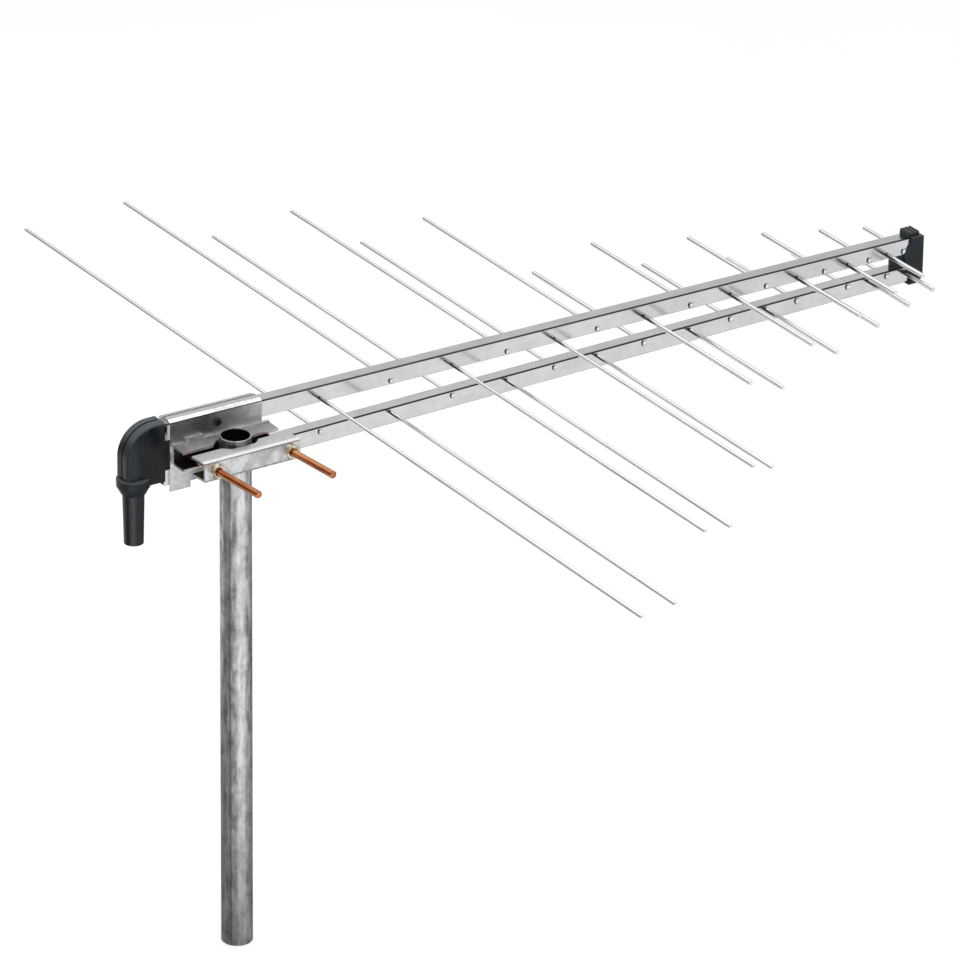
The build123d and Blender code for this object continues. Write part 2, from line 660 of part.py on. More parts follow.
def make_feed_link():
    """Return the bare conductor that crosses from the feeder's end to the lower boom's terminal."""
    start_x = feeder_end_x()
    front_x = BOOM_FRONT_X + LINK_REACH
    terminal_x = BOOM_FRONT_X - TERMINAL_LENGTH / 2
    high = MID_Z + feeder_level(start_x)
    low = MID_Z + boom_level(LOWER, BOOM_FRONT_X)
    points = [
        (start_x, BOOM_Y, high),
        (front_x, BOOM_Y, high),
        (front_x, BOOM_Y, low),
        (terminal_x, BOOM_Y, low),
    ]
    path = FilletPolyline(*points, radius=LINK_BEND_RADIUS)
    section = Plane(origin=path @ 0, z_dir=path % 0) * Circle(LINK_DIAMETER / 2)
    return sweep(section, path=path)


def make_feed_terminal():
    """Return the block in the front end of the lower boom that the link plugs into."""
    width = BOOM_WIDTH - 2 * BOOM_WALL - 2 * TERMINAL_CLEARANCE
    half = BOOM_HEIGHT / 2 - BOOM_WALL - TERMINAL_CLEARANCE
    block = boom_block(LOWER, BOOM_FRONT_X - TERMINAL_LENGTH, BOOM_FRONT_X, width, -half, half)
    z = MID_Z + boom_level(LOWER, BOOM_FRONT_X)
    bore = Cylinder(LINK_DIAMETER / 2 + TERMINAL_CLEARANCE, TERMINAL_LENGTH)
    return block - Pos(BOOM_FRONT_X, BOOM_Y, z) * Rot(0, 90, 0) * bore


def cap_side_outline():
    """Return the cap's side shape: a lip under the lower boom and a flank widest at its middle."""
    front = BOOM_FRONT_X + CAP_NOSE
    seat = boom_level(UPPER, BOOM_FRONT_X) + BOOM_HEIGHT / 2 + CAP_FIT_CLEARANCE
    top = seat + CAP_WALL
    neck = front - CAP_NECK_LENGTH
    waist = front - CAP_WAIST_LENGTH
    lip = front - CAP_LIP_LENGTH
    points = [
        (neck, seat + CAP_BROW),
        (front, seat + CAP_BROW),
        (front, -top + CAP_CHIN),
        (front - CAP_CHIN, -top),
        (lip, -top),
        (lip, -seat),
        (neck, -seat),
        (neck, -seat + CAP_NECK_HEIGHT),
        (waist, -CAP_WAIST_HEIGHT / 2),
        (waist, CAP_WAIST_HEIGHT / 2),
        (neck, seat - CAP_NECK_HEIGHT),
    ]
    return make_face(Polyline(*points, close=True))


def make_cap_block():
    """Return the ribbed block that stands on the cap's top and reaches back over the upper boom."""
    seat = boom_level(UPPER, BOOM_FRONT_X) + BOOM_HEIGHT / 2 + CAP_FIT_CLEARANCE
    front = BOOM_FRONT_X + CAP_NOSE - CAP_BLOCK_SETBACK
    length = CAP_LIP_LENGTH - CAP_BLOCK_SETBACK
    front_foot = (Align.MAX, Align.CENTER, Align.MIN)
    block = Pos(front, 0, seat) * Box(length, BOOM_WIDTH, CAP_BLOCK_HEIGHT, align=front_foot)
    block = fillet(block.edges().filter_by(Axis.Z), CAP_EDGE)
    pitch = length / CAP_RIB_COUNT
    for index in range(CAP_RIB_COUNT):
        x = front - (index + 0.5) * pitch
        rib = Box(CAP_RIB_WIDTH, BOOM_WIDTH - 2 * CAP_EDGE, 2 * CAP_RIB_HEIGHT)
        block += Pos(x, 0, seat + CAP_BLOCK_HEIGHT) * rib
    return block


def make_front_cap():
    """Return the moulded cap: flanks, a spacer between the booms and a cell for the feed link."""
    width = BOOM_WIDTH + 2 * CAP_FIT_CLEARANCE + 2 * CAP_SIDE_WALL
    body = extrude(Plane.XZ * cap_side_outline(), width / 2, both=True)
    body = fillet(body.faces().sort_by(Axis.X)[-1].edges(), CAP_EDGE / 2)
    size = (CAP_SPACER_LENGTH - CAP_NOSE, BOOM_WIDTH, 2 * boom_level(UPPER, BOOM_FRONT_X))
    body += Pos(BOOM_FRONT_X, 0, 0) * Box(*size, align=(Align.MAX, Align.CENTER, Align.CENTER))
    body += make_cap_block()
    body = Pos(0, BOOM_Y, MID_Z) * body
    rear = BOOM_FRONT_X - 2 * CAP_SPACER_LENGTH
    fit = CAP_FIT_CLEARANCE
    half = BOOM_HEIGHT / 2 + fit
    for side in (UPPER, LOWER):
        body -= boom_block(side, rear, BOOM_FRONT_X, BOOM_WIDTH + 2 * fit, -half, half)
    cell_height = 2 * (boom_level(UPPER, BOOM_FRONT_X) + FEEDER_OFFSET + FEEDER_DIAMETER)
    left_end = (Align.MIN, Align.CENTER, Align.CENTER)
    cell = Box(CAP_NOSE - CAP_WALL, FEEDER_DIAMETER, cell_height, align=left_end)
    return body - Pos(BOOM_FRONT_X, BOOM_Y, MID_Z) * cell


def rod_name(number, side):
    """Return the name of a rod's node, counted from the longest dipole."""
    return f"rod_{number:02d}_near" if side == NEAR else f"rod_{number:02d}_far"


def make_all():
    """Return every piece by the name of its node."""
    housing = make_housing()
    rear_bolt_x, front_bolt_x = bolt_places()
    pieces = {
        "mast_tube": make_mast(),
        "upper_boom": make_boom(UPPER),
        "lower_boom": make_boom(LOWER),
        "mounting_plate": make_mounting_plate(),
        "plate_screw_upper": make_plate_screw(UPPER),
        "plate_screw_lower": make_plate_screw(LOWER),
        "fixed_jaw": make_fixed_jaw(),
        "moving_jaw": make_moving_jaw(),
        "clamp_bolt_rear": make_clamp_bolt(rear_bolt_x),
        "clamp_bolt_front": make_clamp_bolt(front_bolt_x),
        "clamp_nut_rear": make_clamp_nut(rear_bolt_x),
        "clamp_nut_front": make_clamp_nut(front_bolt_x),
        "housing_near": make_housing_half(housing, NEAR),
        "housing_far": make_housing_half(housing, FAR),
        "weather_sleeve": make_weather_sleeve(),
        "cable_socket": make_cable_socket(),
        "feeder_cable": make_feeder_cable(),
        "feed_link": make_feed_link(),
        "feed_terminal": make_feed_terminal(),
        "front_cap": make_front_cap(),
    }
    for number, (x, length, diameter) in enumerate(DIPOLES, start=1):
        for boom, side in rod_sides(number):
            pieces[rod_name(number, side)] = make_rod(boom, side, x, length, diameter)
    return pieces


def main():
    """Write each piece to its own STEP file."""
    os.makedirs("parts", exist_ok=True)
    for name, piece in make_all().items():
        export_step(piece, f"parts/{name}.step")


main()
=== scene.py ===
"""Dress the log periodic antenna: its finishes, its fine hardware, the studio and the camera."""

import logging
import math
from dataclasses import dataclass, field
from enum import Enum
from typing import Any

import bpy
import numpy as np
from mathutils import Matrix, Vector


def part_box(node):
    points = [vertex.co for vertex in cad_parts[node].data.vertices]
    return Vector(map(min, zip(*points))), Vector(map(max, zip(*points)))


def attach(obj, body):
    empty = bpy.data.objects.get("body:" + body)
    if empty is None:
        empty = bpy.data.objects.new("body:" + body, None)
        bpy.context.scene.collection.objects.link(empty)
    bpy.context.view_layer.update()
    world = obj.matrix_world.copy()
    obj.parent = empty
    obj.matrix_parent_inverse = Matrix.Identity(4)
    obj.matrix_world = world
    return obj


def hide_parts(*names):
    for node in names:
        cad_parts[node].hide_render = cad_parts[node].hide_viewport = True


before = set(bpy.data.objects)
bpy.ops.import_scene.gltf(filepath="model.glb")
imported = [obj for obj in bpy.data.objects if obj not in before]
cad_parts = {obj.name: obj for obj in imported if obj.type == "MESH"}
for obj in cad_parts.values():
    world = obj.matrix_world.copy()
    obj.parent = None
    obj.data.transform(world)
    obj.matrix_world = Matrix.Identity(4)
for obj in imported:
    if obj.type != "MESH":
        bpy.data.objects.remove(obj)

Node = bpy.types.Node
Piece = bpy.types.Object
Socket = bpy.types.NodeSocket
Tree = bpy.types.NodeTree
Span = tuple[float, float]
Triple = tuple[float, float, float]
Colour = tuple[float, float, float, float]
Ramp = tuple[float, float, float, float]
Slots = tuple[tuple[str, str], ...]

LOG = logging.getLogger("antenna")
MM = 0.001
BODY = "root"
WHITE: Colour = (1.0, 1.0, 1.0, 1.0)
WHOLE: Span = (0.0, 1.0)
# Most of a noise lies between these values.
NOISE_BAND: Span = (0.3, 0.7)
QUARTER_TURN = 0.5 * math.pi
FLOAT, COLOUR, VECTOR = "NodeSocketFloat", "NodeSocketColor", "NodeSocketVector"
# The sockets of a Mix node that mixes colours.
MIX_SHARE, MIX_FIRST, MIX_SECOND, MIX_RESULT = 0, 6, 7, 2


class Axis(Enum):
    """An axis of the object, by its place in a vector."""

    X = 0
    Y = 1
    Z = 2


def skin_rings(
    rings: np.ndarray, closed_path: bool = False
) -> tuple[np.ndarray, np.ndarray, np.ndarray]:
    """Join rings of points into a skin: ring i and ring i + 1 share a row of quads.

    Point j of ring i is vertex i * n + j, and the quad between them is
    (i, j), (i, j + 1), (i + 1, j + 1), (i + 1, j), with j taken modulo n.

    Args:
        rings: Points as an array of shape (rings, points, 3).
        closed_path: Whether the last ring joins the first; otherwise a fan closes each end.

    Returns:
        The vertices, the quads and the triangles of the end fans.
    """
    count, size, _ = rings.shape
    vertices = rings.reshape(-1, 3)
    columns = np.arange(size)
    beside = (columns + 1) % size
    rows = np.arange(count if closed_path else count - 1)[:, None]
    here, after = rows * size, (rows + 1) % count * size
    corners = [here + columns, here + beside, after + beside, after + columns]
    quads = np.stack(corners, axis=-1).reshape(-1, 4)
    if closed_path:
        return vertices, quads, np.empty((0, 3), dtype=int)
    centres = np.stack([rings[0].mean(axis=0), rings[-1].mean(axis=0)])
    first, last = len(vertices), len(vertices) + 1
    base = (count - 1) * size
    near_fan = np.stack([np.full(size, first), beside, columns], axis=-1)
    far_fan = np.stack([np.full(size, last), base + columns, base + beside], axis=-1)
    return np.concatenate([vertices, centres]), quads, np.concatenate([near_fan, far_fan])


def enclosed_volume(vertices: np.ndarray, quads: np.ndarray, fans: np.ndarray) -> float:
    """Return the signed volume in a closed skin: a sixth of the sum of a . (b x c) over triangles.

    Args:
        vertices: The points of the skin.
        quads: The corners of its quads.
        fans: The corners of its triangles.

    Returns:
        A volume that is positive where the faces point outwards.
    """
    triangles = np.concatenate([quads[:, [0, 1, 2]], quads[:, [0, 2, 3]], fans])
    a, b, c = (vertices[triangles[:, corner]] for corner in range(3))
    return float(np.einsum("ij,ij->i", a, np.cross(b, c)).sum() / 6.0)


def make_piece(
    name: str, rings: np.ndarray, closed_path: bool = False, crease: float = 35.0
) -> Piece:
    """Make a smooth object in the scene from rings of points, with its faces outwards.

    Args:
        name: The name of the piece.
        rings: Points as an array of shape (rings, points, 3), in metres.
        closed_path: Whether the last ring joins the first.
        crease: The angle in degrees past which an edge stays sharp.

    Returns:
        The new object, at the origin.
    """
    vertices, quads, fans = skin_rings(rings, closed_path)
    if enclosed_volume(vertices, quads, fans) < 0:
        quads, fans = quads[:, ::-1], fans[:, ::-1]
    mesh = bpy.data.meshes.new(name)
    mesh.from_pydata(vertices.tolist(), [], quads.tolist() + fans.tolist())
    mesh.validate()
    mesh.shade_smooth()
    mesh.set_sharp_from_angle(angle=math.radians(crease))
    piece = bpy.data.objects.new(name, mesh)
    bpy.context.scene.collection.objects.link(piece)
    return piece


def full_turn(segments: int) -> np.ndarray:
    """Return even angles round the circle: t = 2 pi i / n."""
    return np.linspace(0.0, 2.0 * math.pi, segments, endpoint=False)


def about_z(radius: Any, turn: np.ndarray, height: Any) -> np.ndarray:
    """Return points about Z on the grid that the three share: x = r cos t, y = r sin t, z = h."""
    radius, turn, height = np.broadcast_arrays(radius, turn, height)
    return np.stack([radius * np.cos(turn), radius * np.sin(turn), height], axis=-1)


def turned_rings(profile: np.ndarray, segments: int) -> np.ndarray:
    """Turn a profile of (radius, height) about Z into rings of shape (points, segments, 3)."""
    return about_z(profile[:, :1], full_turn(segments), profile[:, 1:])


def crown(radius: float, height: float, sweep: np.ndarray) -> np.ndarray:
    """Return a domed head's outline as (radius, height): r = R sin t, h = H (1 - cos t)."""
    return np.stack([radius * np.sin(sweep), height * (1.0 - np.cos(sweep))], axis=-1)


def placed(rings: np.ndarray, matrix: Matrix) -> np.ndarray:
    """Move rings of points by a matrix: p' = R p + t."""
    matrix_rows = np.array(matrix)
    return rings @ matrix_rows[:3, :3].T + matrix_rows[:3, 3]


def along_y(x: float, y: float, z: float, toward: float) -> Matrix:
    """Return the matrix that stands Z along Y, or against it where toward is -1, from a point."""
    return Matrix.Translation((x, y, z)) @ Matrix.Rotation(-QUARTER_TURN * toward, 4, "X")


def grey(level: float, warmth: float = 0.0) -> Colour:
    """Return a linear grey; a positive warmth leans to yellow and a negative one to blue."""
    return (level * (1.0 + warmth), level, level * (1.0 - warmth), 1.0)


@dataclass(frozen=True)
class Cloud:
    """A noise pattern: its grain, where it turns from 0 to 1, and its squeezed, tilted axes."""

    scale: float
    detail: float = 3.0
    roughness: float = 0.5
    band: Span = NOISE_BAND
    squeeze: Triple = (1.0, 1.0, 1.0)
    tilt: float = 0.0


class NodeSheet:
    """A node tree with short calls for adding nodes and joining their sockets."""

    def __init__(self, tree: Tree) -> None:
        """Keep the tree, without the nodes that it came with."""
        self.tree = tree
        tree.nodes.clear()

    def join(self, node: Node, values: dict[Any, Any]) -> None:
        """Feed a node.

        Args:
            node: The node.
            values: Socket name or number, to a plain value or to the socket that feeds it.
        """
        for name, value in values.items():
            if isinstance(value, Socket):
                self.tree.links.new(value, node.inputs[name])
            else:
                node.inputs[name].default_value = value

    def add(self, kind: str, values: dict[Any, Any] | None = None, **settings: Any) -> Node:
        """Add a shader node.

        Args:
            kind: The node's type, as Blender names it after the word ShaderNode.
            values: What feeds its sockets.
            settings: Properties of the node itself.

        Returns:
            The new node.
        """
        node = self.tree.nodes.new(f"ShaderNode{kind}")
        for name, value in settings.items():
            setattr(node, name, value)
        self.join(node, values or {})
        return node

    def compute(self, operation: str, first: Any, second: Any = 0.0, clamp: bool = False) -> Socket:
        """Return the result of a Math node on two values or sockets."""
        node = self.add("Math", {0: first, 1: second}, operation=operation, use_clamp=clamp)
        return node.outputs[0]

    def product(self, *masks: Any) -> Socket:
        """Multiply masks.

        Args:
            masks: Values or sockets, two or more.

        Returns:
            Their product, which is 1 where every mask is 1.
        """
        total = masks[0]
        for mask in masks[1:]:
            total = self.compute("MULTIPLY", total, mask)
        return total

    def weighted(self, *parts: tuple[Any, Any]) -> Socket:
        """Add values by their shares.

        Args:
            parts: A value and its share, each a number or a socket.

        Returns:
            The sum of values times shares, held between 0 and 1.
        """
        total = 0.0
        for value, share in parts:
            total = self.compute("ADD", self.product(value, share), total, clamp=True)
        return total

    def between(self, amount: Any, first: Any, second: Any) -> Socket:
        """Return the value between two values: a (1 - t) + b t."""
        rest = self.compute("SUBTRACT", 1.0, amount)
        return self.weighted((first, rest), (second, amount))

    def off(self, first: Any, second: Any) -> Socket:
        """Return how far apart two values are: |a - b|."""
        return self.compute("ABSOLUTE", self.compute("SUBTRACT", first, second))

    def ramp(
        self, value: Any, low: float, high: float, start: float = 0.0, end: float = 1.0
    ) -> Socket:
        """Map a value smoothly, by t^2 (3 - 2 t) for its part t of the way from low to high.

        Args:
            value: A number or a socket.
            low: The value at which the result is start.
            high: The value at which the result is end; it may be under low.
            start: The first result.
            end: The last result.

        Returns:
            The mapped value.
        """
        limits = {"From Min": low, "From Max": high, "To Min": start, "To Max": end}
        node = self.add("MapRange", {"Value": value, **limits}, interpolation_type="SMOOTHSTEP")
        return node.outputs["Result"]

    def mix(self, amount: Any, first: Any, second: Any) -> Socket:
        """Return the colour between two colours or colour sockets."""
        values = {MIX_SHARE: amount, MIX_FIRST: first, MIX_SECOND: second}
        return self.add("Mix", values, data_type="RGBA").outputs[MIX_RESULT]

    def noise(self, place: Socket, scale: Any, detail: float, roughness: float = 0.5) -> Node:
        """Return a noise texture, which puts out Fac and Color."""
        values = {"Vector": place, "Scale": scale, "Detail": detail, "Roughness": roughness}
        return self.add("TexNoise", values)

    def cloud(self, place: Socket, look: Cloud, strength: float = 1.0) -> Socket:
        """Add a noise pattern.

        Args:
            place: The coordinates that it reads.
            look: Its grain, band and axes.
            strength: Its highest value.

        Returns:
            A mask from 0 to the strength.
        """
        turned = (0.0, math.radians(look.tilt), 0.0)
        values = {"Vector": place, "Rotation": turned, "Scale": look.squeeze}
        mapped = self.add("Mapping", values).outputs[0]
        noise = self.noise(mapped, look.scale, look.detail, look.roughness)
        return self.ramp(noise.outputs["Fac"], *look.band, 0.0, strength)

    def split(self, vector: Socket) -> list[Socket]:
        """Return the x, y and z of a vector."""
        return list(self.add("SeparateXYZ", {0: vector}).outputs)

    def facing(self, axis: Axis, low: float, high: float) -> Socket:
        """Return how a face looks along an axis: 0 where its normal's part is low, 1 at high."""
        normal = self.add("NewGeometry").outputs["Normal"]
        return self.ramp(self.split(normal)[axis.value], low, high)


def new_group(
    name: str, inputs: dict[str, str], outputs: dict[str, str]
) -> tuple[NodeSheet, Any, Node]:
    """Make an empty node group with named sockets.

    Args:
        name: The group's name.
        inputs: Socket name to its type; each use of the group gives the values.
        outputs: Socket name to its type.

    Returns:
        The sheet of the group, the sockets that carry its inputs and its output node.
    """
    tree = bpy.data.node_groups.new(name, "ShaderNodeTree")
    for side, sockets in (("INPUT", inputs), ("OUTPUT", outputs)):
        for label, kind in sockets.items():
            tree.interface.new_socket(name=label, in_out=side, socket_type=kind)
    sheet = NodeSheet(tree)
    given = tree.nodes.new("NodeGroupInput").outputs
    return sheet, given, tree.nodes.new("NodeGroupOutput")


def build_mottle_group() -> Tree:
    """Build the cloudy two-tone effect: broad and fine noise, blended, choose between two colours.

    Returns:
        A group that puts out Color and Mask.
    """
    fine_scale, fine_share, band = 4.3, 0.35, (0.35, 0.65)
    inputs = {"Vector": VECTOR, "Scale": FLOAT, "Dark": COLOUR, "Light": COLOUR}
    sheet, given, end = new_group("cloudy_mottle", inputs, {"Color": COLOUR, "Mask": FLOAT})
    broad = sheet.noise(given["Vector"], given["Scale"], detail=2.0).outputs["Fac"]
    finer = sheet.compute("MULTIPLY", given["Scale"], fine_scale)
    fine = sheet.noise(given["Vector"], finer, detail=4.0).outputs["Fac"]
    mask = sheet.ramp(sheet.between(fine_share, broad, fine), *band)
    sheet.join(end, {"Color": sheet.mix(mask, given["Dark"], given["Light"]), "Mask": mask})
    return sheet.tree


def build_grain_group() -> Tree:
    """Build the drawn-metal grain: noise whose coordinates are squeezed along one axis.

    Returns:
        A group that puts out Mask.
    """
    inputs = {"Vector": VECTOR, "Stretch": VECTOR, "Scale": FLOAT}
    sheet, given, end = new_group("drawn_grain", inputs, {"Mask": FLOAT})
    values = {0: given["Vector"], 1: given["Stretch"]}
    squeezed = sheet.add("VectorMath", values, operation="MULTIPLY").outputs[0]
    lines = sheet.noise(squeezed, given["Scale"], detail=3.0, roughness=0.6)
    sheet.join(end, {"Mask": lines.outputs["Fac"]})
    return sheet.tree


def build_spangle_group() -> Tree:
    """Build the crystals of zinc: each Voronoi cell has a tone, and a warp frays its edges.

    Returns:
        A group that puts out Tone and Edge.
    """
    fray_scale, middle, warp, rim = 210.0, (0.5, 0.5, 0.5), 0.004, 0.12
    inputs = {"Vector": VECTOR, "Scale": FLOAT}
    sheet, given, end = new_group("zinc_spangle", inputs, {"Tone": FLOAT, "Edge": FLOAT})
    fray = sheet.noise(given["Vector"], fray_scale, detail=3.0).outputs["Color"]
    moved = sheet.add("VectorMath", {0: fray, 1: middle}, operation="SUBTRACT").outputs[0]
    pushed = sheet.add("VectorMath", {0: moved, "Scale": warp}, operation="SCALE").outputs[0]
    warped = sheet.add("VectorMath", {0: given["Vector"], 1: pushed}, operation="ADD").outputs[0]
    values = {"Vector": warped, "Scale": given["Scale"]}
    cells = sheet.add("TexVoronoi", values).outputs["Color"]
    rims = sheet.add("TexVoronoi", values, feature="DISTANCE_TO_EDGE").outputs["Distance"]
    tone = sheet.add("SeparateColor", {0: cells}).outputs[0]
    sheet.join(end, {"Tone": tone, "Edge": sheet.ramp(rims, 0.0, rim)})
    return sheet.tree


def build_moulded_group() -> Tree:
    """Build the fine grain of moulded plastic: a dense noise for height and a slow one for sheen.

    Returns:
        A group that puts out Height and Cloud.
    """
    slow_scale = 55.0
    inputs = {"Vector": VECTOR, "Scale": FLOAT}
    sheet, given, end = new_group("moulded_skin", inputs, {"Height": FLOAT, "Cloud": FLOAT})
    dense = sheet.noise(given["Vector"], given["Scale"], detail=2.0).outputs["Fac"]
    slow = sheet.noise(given["Vector"], slow_scale, detail=3.0).outputs["Fac"]
    sheet.join(end, {"Height": dense, "Cloud": sheet.ramp(slow, *NOISE_BAND)})
    return sheet.tree


@dataclass
class Effects:
    """The shared node groups, each built once."""

    mottle: Tree = field(default_factory=build_mottle_group)
    grain: Tree = field(default_factory=build_grain_group)
    spangle: Tree = field(default_factory=build_spangle_group)
    moulded: Tree = field(default_factory=build_moulded_group)


class Surface(NodeSheet):
    """A material's nodes, with its shader, its object coordinates and the shared effects."""

    line_edge = 0.8
    upward = (0.1, 0.2)

    def __init__(self, tree: Tree, effects: Effects) -> None:
        """Add the shader, joined to the output, and the coordinates.

        Args:
            tree: The material's node tree.
            effects: The shared node groups.
        """
        super().__init__(tree)
        self.effects = effects
        self.shader = self.add("BsdfPrincipled")
        self.add("OutputMaterial", {"Surface": self.shader.outputs[0]})
        self.place = self.add("TexCoord").outputs["Object"]

    @property
    def colour(self) -> Socket:
        """Return the socket that feeds the shader's colour."""
        return self.shader.inputs["Base Color"].links[0].from_socket

    @colour.setter
    def colour(self, source: Socket) -> None:
        """Feed the shader's colour."""
        self.join(self.shader, {"Base Color": source})

    def tint(self, mask: Any, colour: Colour) -> None:
        """Lay a colour over the surface's own where a mask is 1."""
        self.colour = self.mix(mask, self.colour, colour)

    def effect(self, group: Tree, **values: Any) -> Any:
        """Place a shared effect with its own values, and return its output sockets."""
        return self.add("Group", {"Vector": self.place, **values}, node_tree=group).outputs

    def clouded(self, scale: float, dark: Colour, light: Colour, drawn: float = 1.0) -> Socket:
        """Colour the surface with two cloudy tones.

        Args:
            scale: The scale of the clouds.
            dark: Their one tone.
            light: Their other tone.
            drawn: What Y is squeezed by, so that the clouds run along it.

        Returns:
            The mask between the tones.
        """
        values = {"Vector": self.place, "Scale": (1.0, drawn, 1.0)}
        place = self.add("Mapping", values).outputs[0]
        values = {"Vector": place, "Scale": scale, "Dark": dark, "Light": light}
        clouds = self.effect(self.effects.mottle, **values)
        self.colour = clouds["Color"]
        return clouds["Mask"]

    def line_on_top(self, centre: float, half: float, tone: float) -> None:
        """Draw a line along X: where |y - centre| < half width and the face looks up.

        Args:
            centre: The line's place on Y, in metres.
            half: Half its width, in metres.
            tone: Its grey.
        """
        off = self.off(self.split(self.place)[1], centre)
        line = self.ramp(off, half, half * self.line_edge)
        self.tint(self.product(line, self.facing(Axis.Z, *self.upward)), grey(tone))


@dataclass(frozen=True)
class Finish:
    """A material of the antenna: its gloss, its relief, and a surface that the subclass draws.

    The spread holds the shares of the roughness at the low and at the high end of a mask.
    """

    name: str
    metallic: float = 1.0
    roughness: float = 0.3
    spread: Span = (1.0, 1.0)
    depth: float = 0.0001
    relief: float = 0.25

    def material(self, effects: Effects) -> bpy.types.Material:
        """Build the material.

        Args:
            effects: The shared node groups.

        Returns:
            The new material.
        """
        made = bpy.data.materials.new(self.name)
        made.use_nodes = True
        self.draw(Surface(made.node_tree, effects))
        return made

    def draw(self, surface: Surface) -> None:
        """Join the finish's nodes to the shader."""
        raise NotImplementedError

    def texture(self, surface: Surface, mask: Any, height: Any, band: Span = WHOLE) -> None:
        """Feed the shader's gloss and relief.

        Args:
            surface: The material's nodes.
            mask: What the roughness follows.
            height: What the bump follows.
            band: The values of the mask that the roughness goes between.
        """
        first, last = (self.roughness * share for share in self.spread)
        bump = {"Height": height, "Distance": self.depth, "Strength": self.relief}
        inputs = {
            "Metallic": self.metallic,
            "Roughness": surface.ramp(mask, *band, first, last),
            "Normal": surface.add("Bump", bump).outputs[0],
        }
        surface.join(surface.shader, inputs)


@dataclass(frozen=True)
class Band:
    """A band along the tube: its angle, where it is full and gone beside its middle, its share."""

    angle: float
    full: float
    gone: float
    share: float


@dataclass(frozen=True)
class GalvanisedTube(Finish):
    """Hot-dipped zinc: soft crystals, grey runs, one darker weld line, a painted highlight band and
    painted shade.
    """

    metallic: float = 0.9
    spread: Span = (1.4, 0.9)
    depth: float = 0.0002
    dark: float = 0.20
    light: float = 0.85
    warmths: Span = (-0.02, -0.01)
    crystal_scale: float = 210.0
    runs: Cloud = Cloud(240.0, 5.0, 0.65, (0.42, 0.60), (1.0, 1.0, 0.16))
    blotches: Cloud = Cloud(90.0, 5.0, 0.7, (0.40, 0.60), (1.0, 1.0, 0.45))
    tone_shares: Triple = (0.22, 0.40, 0.38)
    relief_shares: Span = (0.25, 0.75)
    plain_share: float = 0.68
    # A painted highlight: a lighter band down one side of the tube, where the light falls.
    highlight_band: Band = Band(-102.8, 0.0015, 0.0053, 0.45)
    seam: Band = Band(-144.0, 0.0003, 0.0011, 0.6)
    seam_shade: float = 0.55
    # The grey of painted shade in the bore and on the stub above the clamp.
    inner_shade_tone: float = 0.03
    bore_radius: float = 0.0114
    stub: Span = (0.4285, 0.4325)
    stub_share: float = 0.6
    upright: Span = (0.6, 0.3)

    def draw(self, surface: Surface) -> None:
        """Join crystals, runs, the painted highlight band, the weld line and the painted shade into
        colour and texture.

        Args:
            surface: The material's nodes.
        """
        crystals = surface.effect(surface.effects.spangle, Scale=self.crystal_scale)
        runs = surface.cloud(surface.place, self.runs)
        blotches = surface.cloud(surface.place, self.blotches)
        tones = zip((crystals["Tone"], runs, blotches), self.tone_shares)
        plain = (surface.weighted(*tones), self.plain_share)
        # Painted highlight: the tone is lifted along one band down the tube.
        tone = surface.weighted(plain, self.band(surface, self.highlight_band))
        dark, light = map(grey, (self.dark, self.light), self.warmths)
        surface.colour = surface.mix(tone, dark, light)
        seam = surface.product(*self.band(surface, self.seam))
        surface.tint(seam, grey(self.dark * self.seam_shade))
        # Painted shade: the bore and the stub above the clamp are darkened.
        surface.tint(self.painted_shade(surface), grey(self.inner_shade_tone))
        height = surface.weighted(*zip((crystals["Edge"], runs), self.relief_shares))
        self.texture(surface, tone, height)

    def painted_shade(self, surface: Surface) -> Socket:
        """Find where shade is painted.

        The bore is where sqrt(x^2 + y^2) is less than its radius, and the stub is where z is
        above its start on a face that doesn't look up.

        Args:
            surface: The material's nodes.

        Returns:
            The mask of painted shade in the bore and, in part, on the stub above the clamp.
        """
        x, y, z = surface.split(surface.place)
        reach = surface.compute("SQRT", surface.weighted((x, x), (y, y)))
        bore = surface.compute("LESS_THAN", reach, self.bore_radius)
        upright = surface.facing(Axis.Z, *self.upright)
        stub = surface.product(surface.ramp(z, *self.stub), upright, self.stub_share)
        return surface.compute("MAXIMUM", bore, stub)

    def band(self, surface: Surface, band: Band) -> tuple[Socket, float]:
        """Find a band along the tube.

        The distance beside the upright plane at angle a is |y cos a - x sin a|, and
        x cos a + y sin a is over 0 on the band's own side.

        Args:
            surface: The material's nodes.
            band: The band, with its angle in degrees and its widths in metres.

        Returns:
            Its mask and its share.
        """
        turn = math.radians(band.angle)
        x, y, _ = surface.split(surface.place)
        (x_cos, x_sin), (y_cos, y_sin) = (
            [surface.product(part, share) for share in (math.cos(turn), math.sin(turn))]
            for part in (x, y)
        )
        near = surface.ramp(surface.off(y_cos, x_sin), band.gone, band.full)
        own_side = surface.compute("GREATER_THAN", surface.compute("ADD", x_cos, y_sin), 0.0)
        return surface.product(near, own_side), band.share


